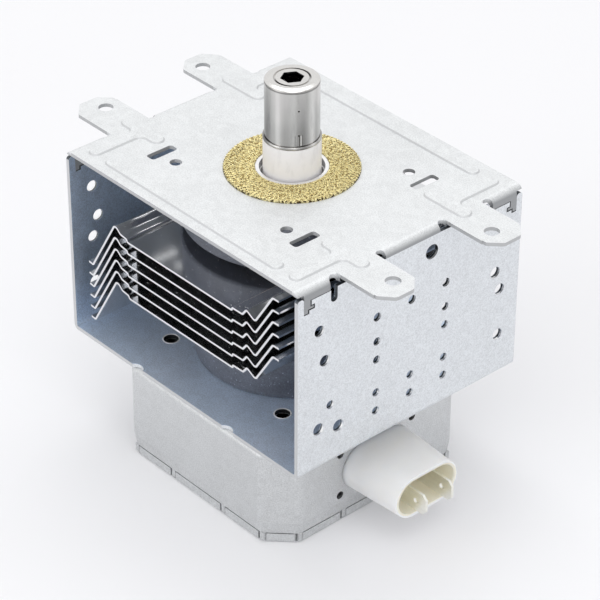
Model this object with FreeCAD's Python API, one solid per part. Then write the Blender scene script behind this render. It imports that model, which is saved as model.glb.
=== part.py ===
import FreeCAD, Part
import math
import os

os.makedirs("parts", exist_ok=True)

V = FreeCAD.Vector

# A microwave-oven magnetron, upright, in millimetres.
# Origin: the antenna's axis where it crosses the top face of the top plate. +Z runs up the antenna.
# +X is the side wall above the connector, and -Y is the open end where the fins are seen.

# Yoke: one U-shaped sheet, open at both ends.
YOKE_HALF_X = 47.5
YOKE_HALF_Y = 40.1
YOKE_FLOOR_Z = -58.5
YOKE_T = 1.2
YOKE_BEND_IN = 0.5
WALL_TOP_Z = -2.1
CORNER_TOP_Z = -3.5
POST_W = 2.1
POST_ROUND_R = 0.9
LOCK_SLOT_W = 2.6
LOCK_SLOT_Z = -7.3
LOCK_HOOK_TOP_Z = -4.9
LOCK_HOOK_LOW_Z = -6.3
LOCK_HOOK_W = 1.1
LOCK_TIP_IN = 0.8
RELIEF_SLOT_Y = 27.65
RELIEF_SLOT_W = 2.3
RELIEF_STEP_Y = 23.6
RELIEF_STEP_Z = -3.1

# Holes of a side wall. The other wall is the same one turned half round.
GRID_Y = 12.4
GRID_TOP_Z = -19.0
GRID_UPPER_Z = -26.7
GRID_MIDDLE_Z = -32.5
GRID_LOWER_Z = -43.1
GRID_BOTTOM_Z = -49.0
GRID_TOP_R = 1.32
GRID_R = 1.22
BIG_HOLE_Y = 6.8
BIG_HOLE_Z = -7.0
BIG_HOLE_R = 2.2
SIDE_HOLES = (
    (-32.7, -14.3, 1.65),
    (-30.8, -24.3, 1.67),
    (-28.7, -39.3, 1.3),
    (-32.8, -45.3, 1.8),
    (-25.8, -47.4, 1.8),
    (32.7, -14.0, 1.7),
    (31.0, -24.0, 1.7),
    (33.0, -30.2, 1.7),
    (33.0, -45.0, 1.7),
)

# Yoke floor.
FLOOR_HOLE_R = 13.0
VENT_X = 23.7
VENT_Y = 24.3
VENT_R = 2.15
VENT_CLEAR = 0.5
NOTCH_X = 19.1
NOTCH_W = 4.7
NOTCH_DEPTH = 1.3

# Top plate.
PLATE_T = 1.1
PLATE_INSET_Y = 0.1
PLATE_BEND_OUT = 2.2
MID_FLANGE_Y = 9.7
ROOT_RELIEF_W = 3.3
ROOT_RELIEF_IN = 0.5
FLANGE_END_GAP = 0.06
FLANGE_SEAM = 0.2
LOCK_GAP = 0.4
LOCK_TAB_Z = -7.0
GASKET_SEAT_R = 18.7
MID_RELIEF_W = 2.7
MID_RELIEF_IN = 0.2
EAR_W = 13.3
EAR_REACH = 17.1
EAR_INNER_SLANT = 3.7
EAR_OUTER_SLANT_X = 4.2
EAR_OUTER_SLANT_Y = 3.6
EAR_CORNER_R = 1.6
EAR_HOLE_REACH = 10.9
EAR_HOLE_IN = 5.2
EAR_HOLE_R = 2.15
EAR_NICK = 0.3
EAR_NICK_L = 4.6
BEAD_H = 0.45
BEAD_SLOPE = 0.4
LONG_BEAD_IN_Y = 5.0
LONG_BEAD_IN_X = 12.0
LONG_BEAD_R = 2.0
ARM_BEAD_START = 14.5
ARM_BEAD_RUN = 2.0
ARM_BEAD_IN = 5.85
ARM_BEAD_R = 2.25
LEG_BEAD_IN_X = 6.5
LEG_BEAD_IN_Y = 3.2
LEG_BEAD_R = 2.0
BEAD_INNER_R = 2.0
SLOT_X = 29.1
SLOT_Y = 21.4
SLOT_W = 3.1
SLOT_L = 8.8
SLOT_R = 0.9
TOOL_HOLE_X = 22.6
TOOL_HOLE_Y = 21.9
TOOL_HOLE_R = 1.7

# Magnets.
UPPER_MAGNET_R = 30.3
UPPER_MAGNET_T = 13.2
LOWER_MAGNET_R = 27.2
LOWER_MAGNET_T = 13.0
MAGNET_BORE_R = 10.7
MAGNET_EDGE = 0.5

# Sealed tube between the magnets.
NECK_R = 10.1
SHELL_T = 1.1
FLANGE_T = 0.8
COLLAR_TOP_Z = 0.5
LEDGE_Z = -2.0
LEDGE_HOLE_R = 5.6
ANODE_R = 19.5
ANODE_WALL = 2.0
POLE_T = 1.6
POLE_NOSE_H = 4.2
POLE_HOLE_R = 4.7
POLE_FUNNEL_R = 11.0
POLE_NOSE_T = 1.2
VANE_COUNT = 10
VANE_T = 1.9
VANE_H = 9.5
VANE_TIP_R = 4.6
STRAP_W = 0.8
STRAP_H = 0.9
STRAP_INNER_R = 6.3
STRAP_OUTER_R = 8.0
STRAP_CLEAR = 0.4

# Cathode.
FILAMENT_R = 1.95
FILAMENT_WIRE = 0.5
FILAMENT_TURNS = 5
HAT_R = 3.4
HAT_T = 1.0
LEAD_R = 0.6
SIDE_LEAD_Y = 2.6
STEM_H = 9.0
STEM_TOP_DROP = 2.5
STEM_GRIP = 4.5
LEAD_SPREAD = 4.0
LEAD_BEND_R = 1.5
LEAD_BEND_RISE = 8.5
LEAD_BEND_H = 5.0
LEAD_HOLE_CLEAR = 0.6
HAT_GAP = 0.2
LEAD_END_DROP = 2.4

# Antenna.
CERAMIC_R = 7.95
CERAMIC_TOP_Z = 9.7
CERAMIC_WALL = 1.9
CAP_R = 7.5
CAP_TOP_Z = 27.7
CAP_TOP_R = 6.3
CAP_WALL = 0.8
CAP_RING_R = 8.0
CAP_RING_H = 0.9
CAP_RIM_H = 0.45
CAP_RIM_STEP = 0.2
CAP_LINE_H = 0.25
CAP_LINE_DEPTH = 0.2
CAP_GROOVE_R = 5.1
CAP_GROOVE_W = 0.6
CAP_GROOVE_DEPTH = 0.5
CAP_SOCKET_R = 3.3
CAP_SOCKET_SIDES = 6
EXHAUST_R = 2.6
EXHAUST_WALL = 0.5
EXHAUST_TOP_Z = 22.0
EXHAUST_PINCH_Z = 17.5
EXHAUST_FLANGE_R = 6.6
EXHAUST_FLANGE_T = 0.7
ANTENNA_LEAD_R = 0.7
ANTENNA_FOOT_X = 10.4
ANTENNA_FOOT_H = 1.35
ANTENNA_RISE_X = 7.3
ANTENNA_RISE_H = 3.7
ANTENNA_BEND_Z = -11.0
ANTENNA_STRAIGHT_Z = -5.5
ANTENNA_BEND_R = 1.0
ANTENNA_HOLE_R = 1.1

# Knitted gasket.
GASKET_CLEAR = 0.05
GASKET_TOP_Z = 0.6
GASKET_ROUND = 0.35

# Cooling fins. The joggle figures are heights above the fin's flat middle.
FIN_COUNT = 6
FIN_TOP_Z = -17.2
FIN_PITCH = 3.65
FIN_T = 0.6
FIN_HALF_FLAT = 21.4
FIN_COLLAR_T = 0.6
FIN_COLLAR_H = 2.2
FIN_LEFT_SHELF_X = -24.5
FIN_LEFT_SHELF_H = 1.15
FIN_LEFT_PEAK_X = -26.95
FIN_LEFT_PEAK_H = 3.3
FIN_LEFT_FOOT_X = -37.6
FIN_LEFT_FOOT_H = -14.8
FIN_LEFT_END_X = -39.2
FIN_LEFT_END_H = -14.6
FIN_RIGHT_SHELF_X = 25.8
FIN_RIGHT_SHELF_H = 0.89
FIN_RIGHT_BUMP_X = 27.5
FIN_RIGHT_BUMP_H = 3.05
FIN_RIGHT_VALLEY_X = 30.8
FIN_RIGHT_VALLEY_H = 1.2
FIN_RIGHT_PEAK_X = 37.7
FIN_RIGHT_PEAK_H = 11.85
FIN_RIGHT_END_X = 40.2
FIN_RIGHT_END_H = 11.9
FIN_BEND_R = 0.8
FIN_JOGGLE_R = 0.1
FIN_JOGGLE_W = 0.35
FIN_STEP_H = 0.8
SPACER_X0 = -24.2
SPACER_X1 = -22.0
SPACER_INSET = 3.2

# Filter box under the yoke.
BOX_X0 = -29.8
BOX_X1 = 40.0
BOX_Y0 = -40.0
BOX_Y1 = 31.5
BOX_CHAMFER = 7.7
BOX_CORNER_R = 4.0
BOX_T = 0.8
BOX_TOP_R = 1.6
BOX_NECK = 0.6
BOX_WALL_H = 23.1
BOX_NECK_H = 3.7
COVER_H = 3.0
COVER_DROP = 0.3
COVER_T = 0.8
COVER_EDGE_R = 0.75
COVER_SLOT_W = 2.2
TONGUE_W = 1.4
TONGUE_CLEAR = 0.15
TONGUE_L = 2.1
FRONT_SLOT_X = 10.7
SIDE_SLOT_Y = 11.8
CORNER_SLOT_INSET = 0.4
STEM_OPENING_R = 14.5

# Connector on the box's +X face.
CONN_Y = -4.6
CONN_DROP = 13.7
CONN_BASE_W = 25.0
CONN_BASE_H = 14.2
CONN_END_W = 22.6
CONN_END_H = 13.0
CONN_END_X = 60.0
CONN_WALL = 1.1
CONN_FLOOR_T = 3.0
BLADE_PITCH = 9.6
BLADE_W = 6.3
BLADE_T = 0.8
BLADE_DROP = 0.5
BLADE_END_X = 65.0
BLADE_CHAMFER = 1.3
BLADE_HOLE_R = 0.85
BLADE_HOLE_BACK = 3.8
BLADE_INNER_X = 29.0
FIX_HOLE_W = 26.5
FIX_HOLE_H = 13.7
FIX_HOLE_R = 1.2
CAP_PLATE_T = 0.8
CAP_PLATE_MARGIN = 2.2
CAP_BODY_L = 7.5
CAP_BODY_W = 20.0
CAP_BODY_H = 10.0
CAP_BODY_CLEAR = 0.3

# Choke coils inside the filter box.
CORE_R = 2.5
CORE_L = 20.0
CORE_X0 = 6.0
COIL_X0 = 8.0
COIL_WIRE = 1.2
COIL_PITCH = 2.2
COIL_TURNS = 6
TAIL_END_X = -1.0

# Worked out from the sizes above.
BOTH = (-1, 1)
NEAR = 0.01
POST_Y = YOKE_HALF_Y - POST_W
LOCK_SLOT_Y = POST_Y - LOCK_SLOT_W
YOKE_IN_X = YOKE_HALF_X - YOKE_T
FLOOR_IN_Z = YOKE_FLOOR_Z + YOKE_T
PLATE_HALF_Y = YOKE_HALF_Y - PLATE_INSET_Y
BEND_START_X = YOKE_HALF_X - PLATE_BEND_OUT
EAR_BACK_X = BEND_START_X - PLATE_T
MID_RELIEF_X = BEND_START_X + MID_RELIEF_IN
ROOT_RELIEF_X = BEND_START_X + ROOT_RELIEF_IN
EAR_Y0 = MID_FLANGE_Y + MID_RELIEF_W
EAR_Y1 = EAR_Y0 + EAR_W
EAR_TIP_X = YOKE_HALF_X + EAR_REACH
EAR_HOLE_X = YOKE_HALF_X + EAR_HOLE_REACH
EAR_HOLE_Y = EAR_Y0 + EAR_HOLE_IN
CORNER_FLANGE_Y0 = EAR_Y1 + ROOT_RELIEF_W
LONG_BEAD_Y = PLATE_HALF_Y - LONG_BEAD_IN_Y
LONG_BEAD_X = YOKE_HALF_X - LONG_BEAD_IN_X
ARM_BEAD_Y = EAR_Y0 + ARM_BEAD_IN
ARM_BEAD_X0 = YOKE_HALF_X - ARM_BEAD_START
ARM_BEAD_X1 = YOKE_HALF_X + ARM_BEAD_RUN
LEG_BEAD_X = YOKE_HALF_X - LEG_BEAD_IN_X
LEG_BEAD_Y1 = PLATE_HALF_Y - LEG_BEAD_IN_Y
UPPER_MAGNET_Z = -PLATE_T - UPPER_MAGNET_T
LOWER_MAGNET_Z = FLOOR_IN_Z + LOWER_MAGNET_T
NECK_IN_R = NECK_R - SHELL_T
POLE_TOP_Z = UPPER_MAGNET_Z - FLANGE_T
ANODE_TOP_Z = POLE_TOP_Z - POLE_T
POLE_BOTTOM_Z = LOWER_MAGNET_Z + FLANGE_T
ANODE_BOTTOM_Z = POLE_BOTTOM_Z + POLE_T
MIDDLE_Z = (ANODE_TOP_Z + ANODE_BOTTOM_Z) / 2
ANODE_IN_R = ANODE_R - ANODE_WALL
VANE_TOP_Z = MIDDLE_Z + VANE_H / 2
UPPER_HAT_Z = MIDDLE_Z + VANE_H / 2 + HAT_GAP
LOWER_HAT_Z = MIDDLE_Z - VANE_H / 2 - HAT_GAP
STEM_TOP_Z = YOKE_FLOOR_Z - STEM_TOP_DROP
STEM_BOTTOM_Z = STEM_TOP_Z - STEM_H
LEAD_END_Z = STEM_BOTTOM_Z - LEAD_END_DROP
LEAD_BEND_TOP_Z = YOKE_FLOOR_Z + LEAD_BEND_RISE
LEAD_BEND_LOW_Z = LEAD_BEND_TOP_Z - LEAD_BEND_H
BOX_NECK_TOP_Z = YOKE_FLOOR_Z - BOX_WALL_H
BOX_SHOULDER_Z = BOX_NECK_TOP_Z - BOX_NECK_H
COVER_TOP_Z = BOX_SHOULDER_Z - COVER_DROP
COVER_BOTTOM_Z = COVER_TOP_Z - COVER_H
TONGUE_Z = COVER_TOP_Z - TONGUE_L
CONN_Z = YOKE_FLOOR_Z - CONN_DROP
BLADE_Z = CONN_Z - BLADE_DROP
BOX_MID_X = (BOX_X0 + BOX_X1) / 2
BOX_MID_Y = (BOX_Y0 + BOX_Y1) / 2
BOX_SKIRT_Z = COVER_BOTTOM_Z + COVER_T
SKIRT_INSET = BOX_NECK + COVER_T
BOX_IN_X = BOX_X1 - BOX_T
COIL_R = CORE_R + COIL_WIRE / 2
CHOKE_TAIL_Z = LEAD_END_Z - COIL_WIRE / 2
CHOKE_Z = CHOKE_TAIL_Z - COIL_R
COIL_X1 = COIL_X0 + COIL_PITCH * COIL_TURNS


def box(x0, x1, y0, y1, z0, z1):
    """Block between two corners."""
    return Part.makeBox(x1 - x0, y1 - y0, z1 - z0, V(x0, y0, z0))


def rod(r, z0, z1, x=0.0, y=0.0):
    """Upright round bar."""
    return Part.makeCylinder(r, z1 - z0, V(x, y, z0))


def rod_x(r, x0, x1, y, z):
    """Round bar along X."""
    return Part.makeCylinder(r, x1 - x0, V(x0, y, z), V(1, 0, 0))


def tube(r_out, r_in, z0, z1):
    """Upright tube on the antenna's axis."""
    return rod(r_out, z0, z1).cut(rod(r_in, z0, z1))


def prism_z(points, z0, z1):
    """Outline in XY carried up from z0 to z1."""
    wire = Part.makePolygon([V(x, y, z0) for x, y in points] + [V(points[0][0], points[0][1], z0)])
    return Part.Face(wire).extrude(V(0, 0, z1 - z0))


def prism_y(points, y0, y1):
    """Outline in XZ carried along Y."""
    wire = Part.makePolygon([V(x, y0, z) for x, z in points] + [V(points[0][0], y0, points[0][1])])
    return Part.Face(wire).extrude(V(0, y1 - y0, 0))


def turned(points):
    """Half outline in radius and height, turned about the antenna's axis."""
    wire = Part.makePolygon([V(r, 0, z) for r, z in points] + [V(points[0][0], 0, points[0][1])])
    return Part.Face(wire).revolve(V(0, 0, 0), V(0, 0, 1), 360)


def rounded_run(points, radii):
    """Straight edges through the points, joined by an arc at each corner."""
    edges = []
    start = points[0]
    for before, corner, after, r in zip(points, points[1:], points[2:], radii):
        back = (before - corner).normalize()
        ahead = (after - corner).normalize()
        half = back.getAngle(ahead) / 2
        run = r / math.tan(half)
        first = corner + back * run
        last = corner + ahead * run
        inward = (back + ahead).normalize()
        middle = corner + inward * (r / math.sin(half) - r)
        edges.append(Part.LineSegment(start, first).toShape())
        edges.append(Part.Arc(first, middle, last).toShape())
        start = last
    edges.append(Part.LineSegment(start, points[-1]).toShape())
    return edges


def joined(shapes):
    """One solid from shapes that touch or overlap."""
    result = shapes[0].fuse(shapes[1:])
    return result.removeSplitter()


def edges_where(shape, test):
    """Edges whose ends and middle all pass the test."""
    found = []
    for edge in shape.Edges:
        middle = edge.valueAt((edge.FirstParameter + edge.LastParameter) / 2)
        spots = [vertex.Point for vertex in edge.Vertexes] + [middle]
        if all(test(spot) for spot in spots):
            found.append(edge)
    return found


def turned_half(shape):
    """The same shape turned half round about the antenna's axis."""
    copy = shape.copy()
    copy.rotate(V(0, 0, 0), V(0, 0, 1), 180)
    return copy


def save(shape, name):
    """Writes one piece, after a check that it is sound."""
    if not shape.isValid() or shape.Volume <= 0:
        raise RuntimeError(name + " is not a sound solid")
    shape.exportStep("parts/" + name + ".step")
    print(name, len(shape.Solids), "solid", round(shape.Volume, 2), "mm3")


# Yoke
def u_sheet():
    """The bent sheet before its edges and holes are cut."""
    outer = box(-YOKE_HALF_X, YOKE_HALF_X, -YOKE_HALF_Y, YOKE_HALF_Y, YOKE_FLOOR_Z, WALL_TOP_Z)
    inner = box(-YOKE_IN_X, YOKE_IN_X, -YOKE_HALF_Y, YOKE_HALF_Y, FLOOR_IN_Z, WALL_TOP_Z)
    outer_edges = edges_where(outer, lambda p: p.z < YOKE_FLOOR_Z + NEAR and abs(p.x) > YOKE_IN_X)
    inner_edges = edges_where(inner, lambda p: p.z < FLOOR_IN_Z + NEAR and abs(p.x) > YOKE_IN_X - NEAR)
    outer = outer.makeFillet(YOKE_BEND_IN + YOKE_T, outer_edges)
    inner = inner.makeFillet(YOKE_BEND_IN, inner_edges)
    return outer.cut(inner)


def wall_edge_cuts(side_y):
    """What is cut from the top edge of the +X wall near one end."""
    x0 = YOKE_IN_X - YOKE_T
    x1 = YOKE_HALF_X + YOKE_T
    spans = (
        (RELIEF_STEP_Y, RELIEF_STEP_Z, 0),
        (RELIEF_SLOT_Y, CORNER_TOP_Z, 0),
        (LOCK_SLOT_Y, LOCK_HOOK_TOP_Z, CORNER_TOP_Z),
        (LOCK_SLOT_Y - LOCK_HOOK_W, LOCK_HOOK_LOW_Z, LOCK_HOOK_TOP_Z),
        (LOCK_SLOT_Y + LOCK_TIP_IN, LOCK_SLOT_Z, LOCK_HOOK_LOW_Z),
    )
    cuts = []
    for y0, z0, z1 in spans:
        low, high = sorted((side_y * y0, side_y * POST_Y))
        cuts.append(box(x0, x1, low, high, z0, z1))
    slot_r = RELIEF_SLOT_W / 2
    slot_y = side_y * RELIEF_SLOT_Y
    cuts.append(rod_x(slot_r, x0, x1, slot_y, LOCK_SLOT_Z + slot_r))
    cuts.append(box(x0, x1, slot_y - slot_r, slot_y + slot_r, LOCK_SLOT_Z + slot_r, 0))
    return cuts


def wall_holes():
    """Round holes pierced in the +X wall."""
    x0 = YOKE_IN_X - YOKE_T
    x1 = YOKE_HALF_X + YOKE_T
    cuts = [rod_x(BIG_HOLE_R, x0, x1, BIG_HOLE_Y, BIG_HOLE_Z)]
    for y in (-GRID_Y, GRID_Y):
        cuts.append(rod_x(GRID_TOP_R, x0, x1, y, GRID_TOP_Z))
        for z in (GRID_UPPER_Z, GRID_MIDDLE_Z, GRID_LOWER_Z, GRID_BOTTOM_Z):
            cuts.append(rod_x(GRID_R, x0, x1, y, z))
    cuts.append(rod_x(GRID_TOP_R, x0, x1, 0, GRID_TOP_Z))
    cuts.append(rod_x(GRID_R, x0, x1, 0, GRID_LOWER_Z))
    cuts.append(rod_x(GRID_R, x0, x1, 0, GRID_BOTTOM_Z))
    for y, z, r in SIDE_HOLES:
        cuts.append(rod_x(r, x0, x1, y, z))
    return cuts


def floor_vents(r, z0, z1):
    """Round holes near the corners of the floor."""
    return [rod(r, z0, z1, sx * VENT_X, sy * VENT_Y) for sx in BOTH for sy in BOTH]


def yoke_frame():
    """U-shaped sheet with slotted top edges, pierced walls and a floor hole."""
    body = u_sheet()
    cuts = [rod(FLOOR_HOLE_R, YOKE_FLOOR_Z, FLOOR_IN_Z)] + floor_vents(VENT_R, YOKE_FLOOR_Z, FLOOR_IN_Z)
    notch_r = (NOTCH_W * NOTCH_W / 4 + NOTCH_DEPTH * NOTCH_DEPTH) / (2 * NOTCH_DEPTH)
    notch_y = YOKE_HALF_Y - NOTCH_DEPTH + notch_r
    for sx in BOTH:
        for sy in BOTH:
            cuts.append(rod(notch_r, YOKE_FLOOR_Z, FLOOR_IN_Z, sx * NOTCH_X, sy * notch_y))
    wall_cuts = wall_holes()
    for side_y in BOTH:
        wall_cuts = wall_cuts + wall_edge_cuts(side_y)
    cuts = cuts + wall_cuts + [turned_half(cut) for cut in wall_cuts]
    body = body.cut(cuts)
    posts = edges_where(body, lambda p: abs(p.z - WALL_TOP_Z) < NEAR and abs(p.y) > POST_Y - NEAR)
    posts = [edge for edge in posts if edge.BoundBox.XLength > YOKE_T / 2]
    return body.makeFillet(POST_ROUND_R, posts)


# Top plate
def folded_sheet():
    """The plate with both side flanges at full length, before cutting."""
    body = box(-YOKE_HALF_X, YOKE_HALF_X, -PLATE_HALF_Y, PLATE_HALF_Y, LOCK_TAB_Z, 0)
    core_x = YOKE_HALF_X - PLATE_T
    core = box(-core_x, core_x, -PLATE_HALF_Y, PLATE_HALF_Y, LOCK_TAB_Z, -PLATE_T)
    body_edges = edges_where(body, lambda p: p.z > -NEAR and abs(p.x) > core_x)
    core_edges = edges_where(core, lambda p: p.z > -PLATE_T - NEAR and abs(p.x) > core_x - NEAR)
    body = body.makeFillet(PLATE_BEND_OUT, body_edges)
    core = core.makeFillet(PLATE_BEND_OUT - PLATE_T, core_edges)
    return body.cut(core)


def flange_cuts(side_y):
    """What is cut from the +X flange on one side of the plate's middle."""
    x1 = YOKE_HALF_X + PLATE_T
    flange_x = YOKE_HALF_X - PLATE_BEND_OUT
    lock_y = LOCK_SLOT_Y + LOCK_GAP
    seam_z = CORNER_TOP_Z + FLANGE_SEAM
    corner_y1 = POST_Y - FLANGE_END_GAP
    spans = (
        (flange_x, 0, CORNER_FLANGE_Y0, LOCK_TAB_Z, WALL_TOP_Z),
        (BEND_START_X, EAR_Y0, EAR_Y1, LOCK_TAB_Z, 0),
        (flange_x, CORNER_FLANGE_Y0, lock_y, LOCK_HOOK_TOP_Z - LOCK_GAP, seam_z),
        (flange_x, CORNER_FLANGE_Y0, lock_y - LOCK_HOOK_W, LOCK_TAB_Z, seam_z),
        (flange_x, CORNER_FLANGE_Y0, lock_y + LOCK_TIP_IN, LOCK_TAB_Z, LOCK_HOOK_LOW_Z + LOCK_GAP),
        (flange_x, corner_y1, PLATE_HALF_Y, LOCK_TAB_Z, WALL_TOP_Z + POST_ROUND_R),
    )
    cuts = []
    for x0, y0, y1, z0, z1 in spans:
        low, high = sorted((side_y * y0, side_y * y1))
        cuts.append(box(x0, x1, low, high, z0, z1))
    return cuts


def relief_cuts(side_y):
    """Rounded gaps each side of one ear's root."""
    x1 = EAR_TIP_X
    mid_r = (EAR_Y0 - MID_FLANGE_Y) / 2
    mid_y = side_y * (MID_FLANGE_Y + mid_r)
    root_r = (CORNER_FLANGE_Y0 - EAR_Y1) / 2
    root_y = side_y * (EAR_Y1 + root_r)
    cuts = []
    for x, y, r in ((MID_RELIEF_X, mid_y, mid_r), (ROOT_RELIEF_X, root_y, root_r)):
        cuts.append(rod(r, LOCK_TAB_Z, 0, x + r, y))
        cuts.append(box(x + r, x1, y - r, y + r, LOCK_TAB_Z, 0))
    return cuts


def ear(side_y):
    """One mounting ear beyond the bend line, with its slanted tip."""
    points = (
        (EAR_BACK_X, EAR_Y0),
        (EAR_TIP_X - EAR_INNER_SLANT, EAR_Y0),
        (EAR_TIP_X, EAR_Y0 + EAR_INNER_SLANT),
        (EAR_TIP_X, EAR_Y1 - EAR_OUTER_SLANT_Y),
        (EAR_TIP_X - EAR_OUTER_SLANT_X, EAR_Y1),
        (EAR_BACK_X, EAR_Y1),
    )
    body = prism_z(points, -PLATE_T, 0)
    corners = edges_where(body, lambda p: p.x > EAR_TIP_X - EAR_OUTER_SLANT_X - NEAR)
    corners = [edge for edge in corners if edge.BoundBox.ZLength > PLATE_T / 2]
    body = body.makeFillet(EAR_CORNER_R, corners)
    body = body.cut(rod(EAR_HOLE_R, -PLATE_T, 0, EAR_HOLE_X, EAR_HOLE_Y))
    nick_y = EAR_Y0
    if side_y < 0:
        body = body.mirror(V(0, 0, 0), V(0, 1, 0))
        nick_y = -EAR_Y1
    return body.cut(box(EAR_TIP_X - EAR_NICK_L, EAR_TIP_X, nick_y, nick_y + EAR_NICK, -PLATE_T, 0))


def pad(x0, y0, x1, y1, r, z0, z1):
    """Long pad with round ends between two points, along X or Y."""
    if x0 == x1:
        middle = box(x0 - r, x0 + r, y0, y1, z0, z1)
    else:
        middle = box(x0, x1, y0 - r, y0 + r, z0, z1)
    return joined([middle, rod(r, z0, z1, x0, y0), rod(r, z0, z1, x1, y1)])


def sloped(shape, z):
    """Slopes the rim of a pad's top face."""
    rim = edges_where(shape, lambda p: abs(p.z - z) < NEAR)
    return shape.makeChamfer(BEAD_SLOPE, rim)


def corner_bead(grow, z0, z1):
    """L-shaped bead running on to the +X +Y ear."""
    arm_r = ARM_BEAD_R + grow
    leg_r = LEG_BEAD_R + grow
    arm = pad(ARM_BEAD_X0 + ARM_BEAD_R, ARM_BEAD_Y, ARM_BEAD_X1 - ARM_BEAD_R, ARM_BEAD_Y, arm_r, z0, z1)
    leg = pad(LEG_BEAD_X, ARM_BEAD_Y, LEG_BEAD_X, LEG_BEAD_Y1 - LEG_BEAD_R, leg_r, z0, z1)
    body = joined([arm, leg])
    inner_y = ARM_BEAD_Y + arm_r
    corners = edges_where(body, lambda p: math.hypot(p.y - inner_y, abs(p.x - LEG_BEAD_X) - leg_r) < NEAR)
    return body.makeFillet(BEAD_INNER_R, corners)


def long_bead(grow, z0, z1):
    """Straight bead along the +Y edge."""
    end = LONG_BEAD_X - LONG_BEAD_R
    return pad(-end, LONG_BEAD_Y, end, LONG_BEAD_Y, LONG_BEAD_R + grow, z0, z1)


def bead_pair(make):
    """A raised bead and the groove pressed in below it."""
    raised = sloped(make(0.0, -PLATE_T / 2, BEAD_H), BEAD_H)
    groove_top = BEAD_H - PLATE_T
    groove = sloped(make(-BEAD_SLOPE, -PLATE_T - BEAD_H, groove_top), groove_top)
    return raised, groove


def four_ways(shape):
    """The shape and its mirror images in both halves of the plate."""
    flipped = shape.mirror(V(0, 0, 0), V(1, 0, 0))
    return [shape, flipped, shape.mirror(V(0, 0, 0), V(0, 1, 0)), turned_half(shape)]


def plate_holes():
    """Slots and round holes beside the gasket."""
    slot = Part.makeBox(SLOT_W, SLOT_L, PLATE_T, V(SLOT_X - SLOT_W / 2, SLOT_Y - SLOT_L / 2, -PLATE_T))
    uprights = [edge for edge in slot.Edges if edge.BoundBox.ZLength > PLATE_T / 2]
    slot = slot.makeFillet(SLOT_R, uprights)
    return four_ways(slot) + four_ways(rod(TOOL_HOLE_R, -PLATE_T, 0, TOOL_HOLE_X, TOOL_HOLE_Y))


def top_plate():
    """Folded plate with ears, lock tabs, beads and the gasket's seat."""
    flange_only = flange_cuts(-1) + flange_cuts(1)
    body = folded_sheet().cut(flange_only + [turned_half(cut) for cut in flange_only])
    ears = [ear(-1), ear(1)]
    body = joined([body] + ears + [turned_half(one) for one in ears])
    reliefs = relief_cuts(-1) + relief_cuts(1)
    body = body.cut(reliefs + [turned_half(cut) for cut in reliefs])
    raised_corner, corner_groove = bead_pair(corner_bead)
    raised_long, long_groove = bead_pair(long_bead)
    body = joined([body] + four_ways(raised_corner) + [raised_long, turned_half(raised_long)])
    grooves = four_ways(corner_groove) + [long_groove, turned_half(long_groove)]
    return body.cut(grooves + plate_holes() + [rod(GASKET_SEAT_R, -PLATE_T, 0)])


# Magnets and gasket
def magnet(r, z0, z1):
    """Ferrite ring with its sharp edges taken off."""
    points = (
        (MAGNET_BORE_R, z0),
        (r - MAGNET_EDGE, z0),
        (r, z0 + MAGNET_EDGE),
        (r, z1 - MAGNET_EDGE),
        (r - MAGNET_EDGE, z1),
        (MAGNET_BORE_R, z1),
    )
    return turned(points)


def mesh_gasket():
    """Knitted ring lying on the upper magnet inside the plate's hole."""
    body = tube(GASKET_SEAT_R - GASKET_CLEAR, NECK_R + GASKET_CLEAR, -PLATE_T, GASKET_TOP_Z)
    rims = edges_where(body, lambda p: p.z > GASKET_TOP_Z - NEAR)
    return body.makeFillet(GASKET_ROUND, rims)


# Sealed tube
def upper_seal_shell():
    """Flange under the magnet, neck through it, and an inner ledge for the ceramic."""
    ledge_low = LEDGE_Z - FLANGE_T
    points = (
        (NECK_IN_R, POLE_TOP_Z),
        (ANODE_R, POLE_TOP_Z),
        (ANODE_R, UPPER_MAGNET_Z),
        (NECK_R, UPPER_MAGNET_Z),
        (NECK_R, COLLAR_TOP_Z),
        (NECK_IN_R, COLLAR_TOP_Z),
        (NECK_IN_R, LEDGE_Z),
        (LEDGE_HOLE_R, LEDGE_Z),
        (LEDGE_HOLE_R, ledge_low),
        (NECK_IN_R, ledge_low),
    )
    return turned(points)


def lower_seal_shell():
    """Flange on the lower magnet and neck down through the yoke floor to the stem."""
    neck_z = STEM_TOP_Z - STEM_GRIP
    points = (
        (NECK_IN_R, neck_z),
        (NECK_R, neck_z),
        (NECK_R, LOWER_MAGNET_Z),
        (ANODE_R, LOWER_MAGNET_Z),
        (ANODE_R, POLE_BOTTOM_Z),
        (NECK_IN_R, POLE_BOTTOM_Z),
    )
    return turned(points)


def pole_piece(outer_z, inner_z, way):
    """Disc with a funnel nose pointing into the anode."""
    nose_z = inner_z + way * POLE_NOSE_H
    points = (
        (ANODE_R, inner_z),
        (ANODE_R, outer_z),
        (POLE_FUNNEL_R, outer_z),
        (POLE_HOLE_R, nose_z - way * POLE_T),
        (POLE_HOLE_R, nose_z),
        (POLE_HOLE_R + POLE_NOSE_T, nose_z),
        (POLE_FUNNEL_R, inner_z),
    )
    return turned(points)


def upper_pole_piece():
    """Upper pole piece with the hole that lets the antenna lead out."""
    body = pole_piece(POLE_TOP_Z, ANODE_TOP_Z, -1)
    return body.cut(rod(ANTENNA_HOLE_R, VANE_TOP_Z, UPPER_MAGNET_Z, ANTENNA_RISE_X, 0))


def strap_groove(r, touching, way):
    """Ring-shaped groove in the vanes' edges; wider where the strap must not touch."""
    clear = 0 if touching else STRAP_CLEAR
    face_z = MIDDLE_Z + way * VANE_H / 2
    depth_z = face_z - way * (STRAP_H + clear)
    low, high = sorted((face_z, depth_z))
    return tube(r + STRAP_W + clear, r - clear, low, high)


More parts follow.
